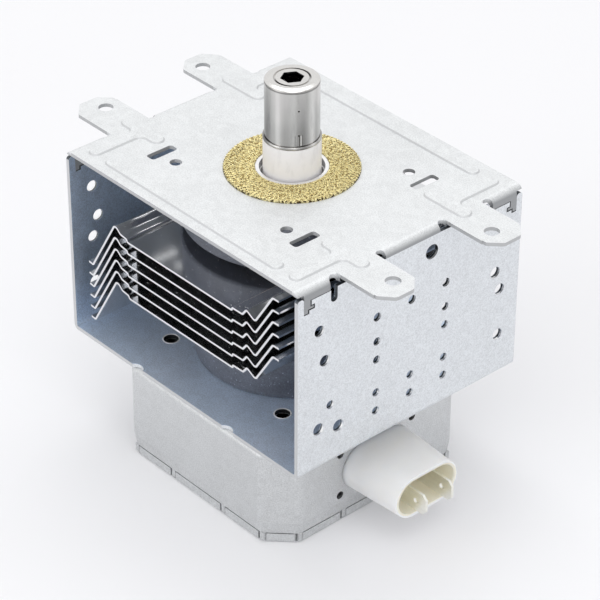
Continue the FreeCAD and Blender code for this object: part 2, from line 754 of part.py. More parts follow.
def anode_block():
    """Copper cylinder with radial vanes grooved for the strap rings."""
    parts = [tube(ANODE_R, ANODE_IN_R, ANODE_BOTTOM_Z, ANODE_TOP_Z)]
    half_h = VANE_H / 2
    for index in range(VANE_COUNT):
        root_x = ANODE_IN_R + ANODE_WALL / 2
        vane = box(VANE_TIP_R, root_x, -VANE_T / 2, VANE_T / 2, MIDDLE_Z - half_h, MIDDLE_Z + half_h)
        even = index % 2 == 0
        grooves = []
        for way in BOTH:
            grooves.append(strap_groove(STRAP_INNER_R, even, way))
            grooves.append(strap_groove(STRAP_OUTER_R, not even, way))
        vane = vane.cut(grooves)
        vane.rotate(V(0, 0, 0), V(0, 0, 1), index * 360 / VANE_COUNT)
        parts.append(vane)
    return joined(parts)


def strap(r, way):
    """One strap ring, flush with the vanes' edges."""
    face_z = MIDDLE_Z + way * VANE_H / 2
    low, high = sorted((face_z, face_z - way * STRAP_H))
    return tube(r + STRAP_W, r, low, high)


def bent_bar(points, r, bend_r):
    """Round bar along straight runs joined by arcs."""
    spine = Part.Wire(rounded_run(points, [bend_r] * (len(points) - 2)))
    section = Part.Wire(Part.makeCircle(r, points[0], points[1] - points[0]))
    return spine.makePipeShell([section], True, True)


def coil(r, wire, pitch, turns):
    """Upright helix of square wire, its first turn starting at height zero on +X."""
    spine = Part.makeHelix(pitch, pitch * turns, r)
    half = wire / 2
    corners = [V(r - half, 0, -half), V(r + half, 0, -half), V(r + half, 0, half), V(r - half, 0, half)]
    section = Part.makePolygon(corners + corners[:1])
    return Part.Wire(spine).makePipeShell([section], True, True)


def cathode_filament():
    """Helical heater between the end hats."""
    height = UPPER_HAT_Z - LOWER_HAT_Z - FILAMENT_WIRE
    body = coil(FILAMENT_R, FILAMENT_WIRE, height / FILAMENT_TURNS, FILAMENT_TURNS)
    body.translate(V(0, 0, LOWER_HAT_Z + FILAMENT_WIRE / 2))
    return body


def cathode_lead(y, top_z, spread_y):
    """Support rod from an end hat down through the stem."""
    points = (
        V(0, y, top_z),
        V(0, y, LEAD_BEND_TOP_Z),
        V(0, spread_y, LEAD_BEND_LOW_Z),
        V(0, spread_y, LEAD_END_Z),
    )
    return bent_bar(points, LEAD_R, LEAD_BEND_R)


def stem_ceramic():
    """Ceramic plug in the lower neck, pierced for both leads."""
    body = rod(NECK_IN_R, STEM_BOTTOM_Z, STEM_TOP_Z)
    holes = [rod(LEAD_R, STEM_BOTTOM_Z, STEM_TOP_Z, 0, way * LEAD_SPREAD) for way in BOTH]
    return body.cut(holes)


# Antenna
def antenna_cap():
    """Drawn cap with a ring at its foot, a rolled rim, a grooved top and a six-sided socket."""
    in_r = CAP_R - CAP_WALL
    line_r = CAP_R - CAP_LINE_DEPTH
    ring_z = CERAMIC_TOP_Z + CAP_RING_H
    rim_z = CAP_TOP_Z - CAP_RIM_H
    groove_z = CAP_TOP_Z - CAP_GROOVE_DEPTH
    roof_z = groove_z - CAP_WALL
    points = (
        (CAP_RING_R, CERAMIC_TOP_Z),
        (CAP_RING_R, ring_z),
        (line_r, ring_z),
        (line_r, ring_z + CAP_LINE_H),
        (CAP_R, ring_z + CAP_LINE_H),
        (CAP_R, rim_z - CAP_LINE_H),
        (line_r, rim_z - CAP_LINE_H),
        (line_r, rim_z),
        (CAP_R, rim_z),
        (CAP_R - CAP_RIM_STEP, rim_z + CAP_RIM_STEP),
        (CAP_TOP_R, CAP_TOP_Z),
        (CAP_GROOVE_R, CAP_TOP_Z),
        (CAP_GROOVE_R, groove_z),
        (CAP_GROOVE_R - CAP_GROOVE_W, groove_z),
        (CAP_GROOVE_R - CAP_GROOVE_W, CAP_TOP_Z),
        (0, CAP_TOP_Z),
        (0, roof_z),
        (in_r, roof_z),
        (in_r, CERAMIC_TOP_Z),
    )
    corners = []
    for index in range(CAP_SOCKET_SIDES):
        angle = 2 * math.pi * index / CAP_SOCKET_SIDES
        corners.append((CAP_SOCKET_R * math.cos(angle), CAP_SOCKET_R * math.sin(angle)))
    body = turned(points)
    foot = edges_where(body, lambda p: math.hypot(p.x, p.y) > CAP_RING_R - NEAR)
    body = body.makeFillet(CAP_RING_R - CAP_R - CAP_LINE_DEPTH, foot)
    return body.cut(prism_z(corners, roof_z, CAP_TOP_Z))


def antenna_ceramic():
    """Ceramic tube between the neck's ledge and the cap."""
    return tube(CERAMIC_R, CERAMIC_R - CERAMIC_WALL, LEDGE_Z, CERAMIC_TOP_Z)


def exhaust_tube():
    """Flanged copper tube on the ceramic, pinched shut inside the cap."""
    in_r = EXHAUST_R - EXHAUST_WALL
    points = (
        (in_r, CERAMIC_TOP_Z),
        (EXHAUST_FLANGE_R, CERAMIC_TOP_Z),
        (EXHAUST_FLANGE_R, CERAMIC_TOP_Z + EXHAUST_FLANGE_T),
        (EXHAUST_R, CERAMIC_TOP_Z + EXHAUST_FLANGE_T),
        (EXHAUST_R, EXHAUST_PINCH_Z),
        (in_r, EXHAUST_PINCH_Z),
    )
    lower = Part.Wire(Part.makeCircle(EXHAUST_R, V(0, 0, EXHAUST_PINCH_Z)))
    flat = Part.Ellipse(V(0, 0, EXHAUST_TOP_Z), EXHAUST_R + EXHAUST_WALL, EXHAUST_WALL)
    upper = Part.Wire(flat.toShape())
    return joined([turned(points), Part.makeLoft([lower, upper], True, True)])


def antenna_lead():
    """Rod from one vane, through the pole piece and the neck, to the pinched tube."""
    points = (
        V(ANTENNA_FOOT_X, 0, VANE_TOP_Z),
        V(ANTENNA_FOOT_X, 0, VANE_TOP_Z + ANTENNA_FOOT_H),
        V(ANTENNA_RISE_X, 0, VANE_TOP_Z + ANTENNA_RISE_H),
        V(ANTENNA_RISE_X, 0, ANTENNA_BEND_Z),
        V(0, 0, ANTENNA_STRAIGHT_Z),
        V(0, 0, EXHAUST_PINCH_Z),
    )
    return bent_bar(points, ANTENNA_LEAD_R, ANTENNA_BEND_R)


# Cooling fins
def folded_face(points, radii, thickness):
    """End face of a folded sheet whose upper side follows the points from left to right."""
    lines = []
    for start, end in zip(points, points[1:]):
        along = (end - start).normalize()
        lines.append((start + V(along.z, 0, -along.x) * thickness, along))
    under = [lines[0][0]]
    upper_radii = []
    under_radii = []
    for (first, along), (second, next_along), r in zip(lines, lines[1:], radii):
        turn = along.x * next_along.z - along.z * next_along.x
        gap = second - first
        under.append(first + along * ((gap.x * next_along.z - gap.z * next_along.x) / turn))
        upper_radii.append(r if turn > 0 else r + thickness)
        under_radii.append(r + thickness if turn > 0 else r)
    last_along = lines[-1][1]
    under.append(points[-1] + V(last_along.z, 0, -last_along.x) * thickness)
    edges = rounded_run(points, upper_radii)
    edges.append(Part.LineSegment(points[-1], under[-1]).toShape())
    edges = edges + rounded_run(under[::-1], under_radii[::-1])
    edges.append(Part.LineSegment(under[0], points[0]).toShape())
    return Part.Face(Part.Wire(edges))


def fin_profile(z):
    """Corners of the fin's upper side, each with its height and its bend's inner radius."""
    joggle_x = FIN_HALF_FLAT + FIN_JOGGLE_W
    corners = (
        (FIN_LEFT_END_X, FIN_LEFT_END_H, 0),
        (FIN_LEFT_FOOT_X, FIN_LEFT_FOOT_H, FIN_BEND_R / 2),
        (FIN_LEFT_PEAK_X, FIN_LEFT_PEAK_H, FIN_BEND_R),
        (FIN_LEFT_SHELF_X, FIN_LEFT_SHELF_H, FIN_BEND_R),
        (-joggle_x, FIN_STEP_H, FIN_JOGGLE_R),
        (-FIN_HALF_FLAT, 0, FIN_JOGGLE_R),
        (FIN_HALF_FLAT, 0, FIN_JOGGLE_R),
        (joggle_x, FIN_STEP_H, FIN_JOGGLE_R),
        (FIN_RIGHT_SHELF_X, FIN_RIGHT_SHELF_H, FIN_BEND_R / 2),
        (FIN_RIGHT_BUMP_X, FIN_RIGHT_BUMP_H, FIN_BEND_R / 2),
        (FIN_RIGHT_VALLEY_X, FIN_RIGHT_VALLEY_H, FIN_BEND_R),
        (FIN_RIGHT_PEAK_X, FIN_RIGHT_PEAK_H, FIN_BEND_R),
        (FIN_RIGHT_END_X, FIN_RIGHT_END_H, 0),
    )
    points = [V(x, -YOKE_HALF_Y, z + height) for x, height, r in corners]
    return points, [r for x, height, r in corners[1:-1]]


def shelf_height(x):
    """Height of the left shelf's upper face at x, above the flat middle."""
    start_x = -FIN_HALF_FLAT - FIN_JOGGLE_W
    share = (x - start_x) / (FIN_LEFT_SHELF_X - start_x)
    return FIN_STEP_H + share * (FIN_LEFT_SHELF_H - FIN_STEP_H)


def spacer_tab(z, side_y):
    """Small tab bent down from the left shelf to stand on the next fin."""
    near_z = shelf_height(SPACER_X1)
    far_z = shelf_height(SPACER_X0)
    points = (
        (SPACER_X1, z + near_z - FIN_T / 2),
        (SPACER_X0, z + far_z - FIN_T / 2),
        (SPACER_X0, z - FIN_PITCH + far_z),
        (SPACER_X1, z - FIN_PITCH + near_z),
    )
    outer = side_y * (YOKE_HALF_Y - SPACER_INSET)
    inner = outer - side_y * FIN_T
    return prism_y(points, min(outer, inner), max(outer, inner))


def fin(index):
    """One folded fin with its collar round the anode."""
    z = FIN_TOP_Z - index * FIN_PITCH
    points, radii = fin_profile(z)
    parts = [folded_face(points, radii, FIN_T).extrude(V(0, 2 * YOKE_HALF_Y, 0))]
    parts.append(rod(ANODE_R + FIN_COLLAR_T, z - FIN_COLLAR_H, z))
    if index < FIN_COUNT - 1:
        parts.append(spacer_tab(z, -1))
        parts.append(spacer_tab(z, 1))
    return joined(parts).cut(rod(ANODE_R, z - FIN_COLLAR_H, z))


# Filter box and its cover
def rounded_block(inset, z0, z1):
    """Block with the filter box's outline, drawn in by inset."""
    x0 = BOX_X0 + inset
    x1 = BOX_X1 - inset
    y0 = BOX_Y0 + inset
    y1 = BOX_Y1 - inset
    cut = BOX_CHAMFER - inset * (2 - math.sqrt(2))
    points = (
        (x0 + cut, y0),
        (x1 - cut, y0),
        (x1, y0 + cut),
        (x1, y1 - cut),
        (x1 - cut, y1),
        (x0 + cut, y1),
        (x0, y1 - cut),
        (x0, y0 + cut),
    )
    body = prism_z(points, z0, z1)
    uprights = [edge for edge in body.Edges if edge.BoundBox.ZLength > (z1 - z0) / 2]
    return body.makeFillet(BOX_CORNER_R - inset, uprights)


def outline(inset, z):
    """The box's outline as a wire at one height."""
    block = rounded_block(inset, z, z + BOX_T)
    flat = [face for face in block.Faces if face.BoundBox.ZMax < z + NEAR]
    return flat[0].OuterWire


def neck_block(top_inset, low_inset):
    """Tapered length between the box's straight walls and its shoulder."""
    wires = [outline(low_inset, BOX_SHOULDER_Z), outline(top_inset, BOX_NECK_TOP_Z)]
    return Part.makeLoft(wires, True, True)


def slot_spots():
    """Middle points of the slots in the cover's flange, and the way each one faces."""
    corner_x = BOX_X1 - BOX_CHAMFER - CORNER_SLOT_INSET - BOX_MID_X
    corner_y = BOX_Y1 - BOX_CHAMFER - CORNER_SLOT_INSET - BOX_MID_Y
    spots = []
    for way in BOTH:
        face_y = BOX_MID_Y + way * (BOX_Y1 - BOX_MID_Y)
        face_x = BOX_MID_X + way * (BOX_X1 - BOX_MID_X)
        for along in (-corner_x, -FRONT_SLOT_X, FRONT_SLOT_X, corner_x):
            spots.append((BOX_MID_X + along, face_y, 0, way))
        for along in (-corner_y, -SIDE_SLOT_Y, SIDE_SLOT_Y, corner_y):
            spots.append((face_x, BOX_MID_Y + along, way, 0))
    return spots


def slot_block(spot, width, shift, outer, inner, z0, z1):
    """Block standing across the flange at one slot."""
    x, y, way_x, way_y = spot
    if way_y:
        low, high = sorted((y - way_y * inner, y - way_y * outer))
        middle = x - way_y * shift
        return box(middle - width / 2, middle + width / 2, low, high, z0, z1)
    low, high = sorted((x - way_x * inner, x - way_x * outer))
    middle = y + way_x * shift
    return box(low, high, middle - width / 2, middle + width / 2, z0, z1)


def stadium(x, width, height, y, z):
    """Round-ended outline standing across X."""
    r = height / 2
    half = width / 2 - r
    left = Part.Arc(V(x, y - half, z + r), V(x, y - half - r, z), V(x, y - half, z - r)).toShape()
    right = Part.Arc(V(x, y + half, z - r), V(x, y + half + r, z), V(x, y + half, z + r)).toShape()
    low = Part.LineSegment(V(x, y - half, z - r), V(x, y + half, z - r)).toShape()
    high = Part.LineSegment(V(x, y + half, z + r), V(x, y - half, z + r)).toShape()
    return Part.Wire([left, low, right, high])


def stadium_bar(x0, x1, width, height):
    """Round-ended bar along X on the connector's axis."""
    return Part.Face(stadium(x0, width, height, CONN_Y, CONN_Z)).extrude(V(x1 - x0, 0, 0))


def fixing_holes(x0, x1):
    """Small holes round the connector."""
    holes = []
    for sy in BOTH:
        for sz in BOTH:
            y = CONN_Y + sy * FIX_HOLE_W / 2
            z = CONN_Z + sz * FIX_HOLE_H / 2
            holes.append(rod_x(FIX_HOLE_R, x0, x1, y, z))
    return holes


def filter_box():
    """Drawn box, open below, necked in so that the cover's flange lies in its line."""
    shell = rounded_block(0, BOX_NECK_TOP_Z, YOKE_FLOOR_Z)
    rim = edges_where(shell, lambda p: p.z > YOKE_FLOOR_Z - NEAR)
    shell = shell.makeFillet(BOX_TOP_R, rim)
    skirt = rounded_block(SKIRT_INSET, BOX_SKIRT_Z, BOX_SHOULDER_Z)
    tongues = []
    shift = (COVER_SLOT_W - TONGUE_W) / 2 - TONGUE_CLEAR
    tongue_root = SKIRT_INSET + BOX_T / 2
    for spot in slot_spots():
        block = slot_block(spot, TONGUE_W, shift, BOX_NECK, tongue_root, TONGUE_Z, BOX_SHOULDER_Z)
        tongues.append(block)
    body = joined([shell, neck_block(0, BOX_NECK), skirt] + tongues)
    low_inset = SKIRT_INSET + BOX_T
    cavity = joined([
        rounded_block(BOX_T, BOX_NECK_TOP_Z, YOKE_FLOOR_Z - BOX_T),
        neck_block(BOX_T, low_inset),
        rounded_block(low_inset, BOX_SKIRT_Z, BOX_SHOULDER_Z),
    ])
    width = CAP_BODY_W + 2 * CAP_BODY_CLEAR
    height = CAP_BODY_H + 2 * CAP_BODY_CLEAR
    cuts = [cavity, rod(STEM_OPENING_R, YOKE_FLOOR_Z - BOX_T, YOKE_FLOOR_Z)]
    cuts.append(stadium_bar(BOX_IN_X, BOX_X1, width, height))
    cuts = cuts + floor_vents(VENT_R + VENT_CLEAR, YOKE_FLOOR_Z - BOX_T, YOKE_FLOOR_Z)
    return body.cut(cuts + fixing_holes(BOX_IN_X, BOX_X1))


def filter_box_cover():
    """Shallow tray whose upturned flange is cut into short lengths."""
    body = rounded_block(BOX_NECK, COVER_BOTTOM_Z, COVER_TOP_Z)
    rim = edges_where(body, lambda p: p.z < COVER_BOTTOM_Z + NEAR)
    body = body.makeFillet(COVER_EDGE_R, rim)
    cuts = [rounded_block(SKIRT_INSET, BOX_SKIRT_Z, COVER_TOP_Z)]
    deep = SKIRT_INSET + BOX_CORNER_R / 2
    for spot in slot_spots():
        cuts.append(slot_block(spot, COVER_SLOT_W, 0, -BOX_T, deep, BOX_SKIRT_Z, COVER_TOP_Z))
    return body.cut(cuts)


# Connector
def connector_housing():
    """Tapered round-ended shroud with a deep cavity round the blades."""
    base = stadium(BOX_X1, CONN_BASE_W, CONN_BASE_H, CONN_Y, CONN_Z)
    end = stadium(CONN_END_X, CONN_END_W, CONN_END_H, CONN_Y, CONN_Z)
    body = Part.makeLoft([base, end], True, True)
    trim = 2 * CONN_WALL
    share = CONN_FLOOR_T / (CONN_END_X - BOX_X1)
    deep_w = CONN_BASE_W - share * (CONN_BASE_W - CONN_END_W) - trim
    deep_h = CONN_BASE_H - share * (CONN_BASE_H - CONN_END_H) - trim
    deep = stadium(BOX_X1 + CONN_FLOOR_T, deep_w, deep_h, CONN_Y, CONN_Z)
    mouth = stadium(CONN_END_X, CONN_END_W - trim, CONN_END_H - trim, CONN_Y, CONN_Z)
    cavity = Part.makeLoft([deep, mouth], True, True)
    return body.cut([cavity] + blade_bars(BOX_X1, BOX_X1 + CONN_FLOOR_T))


def blade_bars(x0, x1):
    """Plain bars with the blades' section."""
    bars = []
    low = BLADE_Z - BLADE_W / 2
    for way in BOTH:
        y = CONN_Y + way * BLADE_PITCH / 2
        bars.append(box(x0, x1, y - BLADE_T / 2, y + BLADE_T / 2, low, low + BLADE_W))
    return bars


def blade(way):
    """Flat push-on blade with cut corners and a small hole."""
    y0 = CONN_Y + way * BLADE_PITCH / 2 - BLADE_T / 2
    low = BLADE_Z - BLADE_W / 2
    high = BLADE_Z + BLADE_W / 2
    points = (
        (BLADE_INNER_X, low),
        (BLADE_END_X - BLADE_CHAMFER, low),
        (BLADE_END_X, low + BLADE_CHAMFER),
        (BLADE_END_X, high - BLADE_CHAMFER),
        (BLADE_END_X - BLADE_CHAMFER, high),
        (BLADE_INNER_X, high),
    )
    body = prism_y(points, y0, y0 + BLADE_T)
    hole_spot = V(BLADE_END_X - BLADE_HOLE_BACK, y0, BLADE_Z)
    return body.cut(Part.makeCylinder(BLADE_HOLE_R, BLADE_T, hole_spot, V(0, 1, 0)))


def capacitor_body():
    """Oval ceramic through the box's wall, slotted for both blades."""
    x0 = BOX_X1 - CAP_BODY_L
    return stadium_bar(x0, BOX_X1, CAP_BODY_W, CAP_BODY_H).cut(blade_bars(x0, BOX_X1))


def capacitor_plate():
    """Steel plate that holds the oval ceramic against the box's wall."""
    x0 = BOX_IN_X - CAP_PLATE_T
    half_w = FIX_HOLE_W / 2 + CAP_PLATE_MARGIN
    half_h = FIX_HOLE_H / 2 + CAP_PLATE_MARGIN
    body = box(x0, BOX_IN_X, CONN_Y - half_w, CONN_Y + half_w, CONN_Z - half_h, CONN_Z + half_h)
    corners = [edge for edge in body.Edges if edge.BoundBox.XLength > CAP_PLATE_T / 2]
    body = body.makeFillet(CAP_PLATE_MARGIN, corners)
    return body.cut([stadium_bar(x0, BOX_IN_X, CAP_BODY_W, CAP_BODY_H)] + fixing_holes(x0, BOX_IN_X))


# Chokes
def choke_coil(way):
    """Coil of heavy wire with a tail to the stem and a tail to a blade."""
    y = CONN_Y + way * BLADE_PITCH / 2
    body = coil(COIL_R, COIL_WIRE, COIL_PITCH, COIL_TURNS)
    body.rotate(V(0, 0, 0), V(0, 1, 0), 90)
    body.rotate(V(0, 0, 0), V(1, 0, 0), 180)
    body.translate(V(COIL_X0, y, CHOKE_Z))
    stem_end = V(TAIL_END_X, way * LEAD_SPREAD, CHOKE_TAIL_Z)
    stem_tail = bent_bar([V(COIL_X0, y, CHOKE_TAIL_Z), stem_end], COIL_WIRE / 2, 0)
    blade_end = V(BLADE_INNER_X, y, CHOKE_TAIL_Z)
    blade_tail = bent_bar([V(COIL_X1, y, CHOKE_TAIL_Z), blade_end], COIL_WIRE / 2, 0)
    return joined([body, stem_tail, blade_tail])


def choke_core(way):
    """Ferrite rod inside the coil."""
    y = CONN_Y + way * BLADE_PITCH / 2
    return rod_x(CORE_R, CORE_X0, CORE_X0 + CORE_L, y, CHOKE_Z)


save(top_plate(), "top_plate")
save(yoke_frame(), "yoke_frame")
save(magnet(UPPER_MAGNET_R, UPPER_MAGNET_Z, -PLATE_T), "upper_magnet")
save(magnet(LOWER_MAGNET_R, FLOOR_IN_Z, LOWER_MAGNET_Z), "lower_magnet")
save(mesh_gasket(), "mesh_gasket")
save(upper_seal_shell(), "upper_seal_shell")
save(lower_seal_shell(), "lower_seal_shell")
save(upper_pole_piece(), "upper_pole_piece")
save(pole_piece(POLE_BOTTOM_Z, ANODE_BOTTOM_Z, 1), "lower_pole_piece")
save(anode_block(), "anode_block")
save(strap(STRAP_INNER_R, 1), "strap_upper_inner")
save(strap(STRAP_OUTER_R, 1), "strap_upper_outer")
save(strap(STRAP_INNER_R, -1), "strap_lower_inner")
save(strap(STRAP_OUTER_R, -1), "strap_lower_outer")
save(cathode_filament(), "cathode_filament")
save(rod(HAT_R, UPPER_HAT_Z, UPPER_HAT_Z + HAT_T), "upper_end_hat")
save(tube(HAT_R, LEAD_R + LEAD_HOLE_CLEAR, LOWER_HAT_Z - HAT_T, LOWER_HAT_Z), "lower_end_hat")
save(cathode_lead(0, UPPER_HAT_Z, -LEAD_SPREAD), "centre_lead")
save(cathode_lead(SIDE_LEAD_Y, LOWER_HAT_Z - HAT_T, LEAD_SPREAD), "side_lead")
save(stem_ceramic(), "stem_ceramic")
save(antenna_cap(), "antenna_cap")
save(antenna_ceramic(), "antenna_ceramic")
save(exhaust_tube(), "exhaust_tube")
save(antenna_lead(), "antenna_lead")
for number in range(FIN_COUNT):
    save(fin(number), "fin_" + str(number + 1))
save(filter_box(), "filter_box")
save(filter_box_cover(), "filter_box_cover")
save(connector_housing(), "connector_housing")
save(blade(-1), "blade_front")
save(blade(1), "blade_back")
save(capacitor_body(), "capacitor_body")
save(capacitor_plate(), "capacitor_plate")
save(choke_coil(-1), "choke_coil_front")
save(choke_coil(1), "choke_coil_back")
save(choke_core(-1), "choke_core_front")
save(choke_core(1), "choke_core_back")
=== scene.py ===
import math
import random

import bpy
from mathutils import Matrix, Vector


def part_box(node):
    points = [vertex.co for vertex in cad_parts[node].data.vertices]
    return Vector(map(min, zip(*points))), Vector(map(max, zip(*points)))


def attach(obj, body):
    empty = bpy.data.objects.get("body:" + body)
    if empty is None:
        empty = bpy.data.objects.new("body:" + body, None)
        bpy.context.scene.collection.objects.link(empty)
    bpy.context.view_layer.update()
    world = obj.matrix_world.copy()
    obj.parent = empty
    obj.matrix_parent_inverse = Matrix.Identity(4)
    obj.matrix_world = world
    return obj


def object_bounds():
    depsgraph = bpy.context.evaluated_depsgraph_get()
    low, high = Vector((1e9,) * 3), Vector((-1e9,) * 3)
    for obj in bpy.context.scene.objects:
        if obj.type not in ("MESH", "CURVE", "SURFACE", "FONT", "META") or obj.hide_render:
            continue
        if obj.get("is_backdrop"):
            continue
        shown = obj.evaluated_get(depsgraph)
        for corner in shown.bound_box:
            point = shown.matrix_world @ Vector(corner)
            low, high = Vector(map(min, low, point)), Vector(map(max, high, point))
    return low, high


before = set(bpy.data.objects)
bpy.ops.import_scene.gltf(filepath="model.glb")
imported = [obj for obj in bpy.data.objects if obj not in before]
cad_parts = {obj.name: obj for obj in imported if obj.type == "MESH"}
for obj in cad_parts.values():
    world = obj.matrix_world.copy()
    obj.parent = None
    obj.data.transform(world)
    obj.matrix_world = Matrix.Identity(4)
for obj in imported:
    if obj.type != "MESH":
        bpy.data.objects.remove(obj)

bl_info = {
    "name": "Magnetron dresser",
    "version": (1, 0, 0),
    "blender": (4, 5, 0),
    "location": "3D View > Sidebar > Magnetron",
    "description": "Gives a magnetron its metals, ceramics, knitted gasket and studio stage",
    "category": "Object",
}

MM = 0.001
BODY = "root"

# Zones of the sheet parts: where a cut, a bend or a bead begins and ends
SHEET_T = 1.2 * MM
SKIN = 0.08 * MM
FACE_SOFT = 0.1 * MM
SLOT_ZONE = 5.6 * MM
VENT_SIDE = 2.1 * MM
NOTCH_ZONE = 4.1 * MM
CUT_LOW_Z = -1.05 * MM
CUT_HIGH_Z = -0.06 * MM
BEND_INNER = 45.2 * MM
BEND_OUTER = 47.6 * MM
BEND_LOW_Z = -1.6 * MM
BEND_HIGH_Z = -0.2 * MM
BEAD_LOW_Z = 0.04 * MM
BEAD_HIGH_Z = 0.40 * MM

# Vent holes in the yoke's floor and the painted highlight rings round them
VENT_X = 23.7 * MM
VENT_Y = 24.3 * MM
RIM_R = 2.32 * MM
RIM_HALF_W = 0.20 * MM
RIM_HALF_H = 0.10 * MM

# Antenna: the cap's wall and flared foot, the radii of the painted shade on its top and the collar's gap
CAP_R = 7.5 * MM
FLARE_H = 1.2 * MM
SOCKET_R = 3.5 * MM
GROOVE_IN_R = 3.9 * MM
GROOVE_OUT_R = 5.6 * MM
CAP_INSIDE_R = 6.6 * MM
COLLAR_GAP_R = 8.95 * MM

# Marks on the cap: angle from the seam and width, then the pits
SEAM_BEAD = ((0.085, 0.55 * MM),)
SEAM_LINES = ((0.034, 0.24 * MM), (0.138, 0.12 * MM), (-0.134, 0.10 * MM))
SEAM_LIFT = 0.06 * MM
PIT_R = 0.26 * MM
PIT_TOP_R = 0.16 * MM
PIT_LIFT = 0.03 * MM
HIGH_PIT_Z = 21.4 * MM

# Knit of the gasket: its edges, the waves of one strand and how far it strays
KNIT_IN_R = 10.35 * MM
KNIT_EDGE = 0.35 * MM
KNIT_WAVE = 0.34 * MM
KNIT_WAVE_H = 0.07 * MM
KNIT_LIFT = 0.02 * MM
KNIT_STRAY = 0.05 * MM
KNIT_STRAY_H = 0.03 * MM
KNIT_SWAY = 0.35
KNIT_SEED = 11
STEPS_PER_LOOP = 4
WIRE_SIDES = 5

# Stage: each lamp's name, place, width and power setting, the point they face, and the pale floor
LAMPS = (
    ("key_lamp", (0.48, -0.26, 1.08), 0.9, "key_power"),
    ("side_lamp", (1.15, -0.25, 0.10), 0.7, "side_power"),
    ("fill_lamp", (-0.27, -1.09, 0.45), 0.9, "fill_power"),
    ("back_lamp", (-0.58, 0.45, 1.72), 1.2, "back_power"),
)
LAMP_AIM = (0.0, 0.0, -0.03)
FLOOR_HALF = 4.0
FLOOR_GLOW = (0.955, 0.955, 0.975, 1.0)
FLOOR_GLOW_SHARE = 0.06
SEEN_SKY = 0.93

# Painted reflection bands round the cap: the angle in degrees, and how light the painted reflection makes
# the metal there
CAP_REFLECTION_BANDS = (
    (-150.0, 0.60), (-125.0, 0.35), (-113.0, 0.28), (-103.0, 0.30), (-96.0, 0.43), (-89.0, 0.56),
    (-80.0, 0.62), (-74.0, 0.80), (-69.0, 0.74), (-65.0, 0.62), (-60.0, 0.54), (-48.0, 0.55),
    (-41.0, 0.65), (-36.0, 0.63), (-32.0, 0.46), (-25.0, 0.36), (-20.0, 0.33), (-15.0, 0.39),
    (-7.0, 0.58), (3.0, 0.92), (9.0, 0.83), (16.0, 0.60), (26.0, 0.68), (60.0, 0.45), (90.0, 0.75),
    (125.0, 0.40), (155.0, 0.60),
)


# Settings that a user would change
class SheetSettings(bpy.types.PropertyGroup):
    """Zinc-coated steel of the yoke, top plate and filter box."""

    plate_colour: bpy.props.FloatVectorProperty(
        name="Top plate", description="Zinc coat of the top plate", subtype="COLOR",
        default=(0.73, 0.745, 0.755))
    yoke_colour: bpy.props.FloatVectorProperty(
        name="Yoke", description="Zinc coat of the yoke", subtype="COLOR", default=(0.735, 0.76, 0.785))
    # Painted shade: a bluer, darker copy of the zinc for the yoke's inner faces
    inner_colour: bpy.props.FloatVectorProperty(
        name="Yoke inside", description="Bluer zinc on the yoke's inner faces", subtype="COLOR",
        default=(0.60, 0.70, 0.84))
    # Bright sheared steel in the holes; the same colour makes the painted highlight rings round the vents
    edge_colour: bpy.props.FloatVectorProperty(
        name="Cut edges", description="Bright sheared steel inside the holes", subtype="COLOR",
        default=(0.95, 0.95, 0.95))
    # Painted shade in the slots and vents, and on the inner half of the holes' cut walls
    slot_colour: bpy.props.FloatVectorProperty(
        name="Slots", description="Shaded sides of slots and vents, and the torn half of the holes",
        subtype="COLOR", default=(0.10, 0.11, 0.12))
    # Painted shade on the sheet's cut ends and on the beads' slopes
    end_colour: bpy.props.FloatVectorProperty(
        name="Sheet ends", description="Cut ends of the sheet and slopes of the beads", subtype="COLOR",
        default=(0.60, 0.61, 0.62))
    # Painted shade on the top plate's bends and flanges
    flange_colour: bpy.props.FloatVectorProperty(
        name="Flanges", description="Greyer bends and flanges of the top plate", subtype="COLOR",
        default=(0.32, 0.33, 0.34))
    box_colour: bpy.props.FloatVectorProperty(
        name="Filter box", description="Zinc coat of the box and cover", subtype="COLOR",
        default=(0.63, 0.642, 0.65))
    roughness: bpy.props.FloatProperty(
        name="Roughness", description="Mean roughness of the zinc", subtype="FACTOR",
        default=0.42, min=0.0, max=1.0)
    spangle: bpy.props.FloatProperty(
        name="Spangle", description="Mean width of the zinc's crystals", unit="LENGTH",
        default=0.0016, min=0.0002)


class FinSettings(bpy.types.PropertyGroup):
    """Rolled aluminium of the cooling fins."""

    colour: bpy.props.FloatVectorProperty(
        name="Colour", description="Fin metal", subtype="COLOR", default=(0.80, 0.81, 0.83))
    roughness: bpy.props.FloatProperty(
        name="Roughness", description="Mean roughness of the aluminium", subtype="FACTOR",
        default=0.12, min=0.0, max=1.0)


class CoreSettings(bpy.types.PropertyGroup):
    """Magnets, the sealed tube's parts and the parts inside the filter box."""

    ferrite: bpy.props.FloatVectorProperty(
        name="Ferrite", description="Ring magnets and choke cores", subtype="COLOR",
        default=(0.096, 0.105, 0.130))
    ceramic: bpy.props.FloatVectorProperty(
        name="Ceramic", description="Fired alumina", subtype="COLOR", default=(0.90, 0.89, 0.905))
    copper: bpy.props.FloatVectorProperty(
        name="Copper", description="Anode, straps, coils and leads", subtype="COLOR",
        default=(0.72, 0.37, 0.24))
    dull_copper: bpy.props.FloatVectorProperty(
        name="Dull copper", description="Pinched tube inside the cap", subtype="COLOR",
        default=(0.05, 0.035, 0.03))
    inner_steel: bpy.props.FloatVectorProperty(
        name="Inner steel", description="Pole pieces and shells", subtype="COLOR",
        default=(0.42, 0.43, 0.45))
    tungsten: bpy.props.FloatVectorProperty(
        name="Tungsten", description="Heater, hats and leads", subtype="COLOR", default=(0.22, 0.22, 0.24))


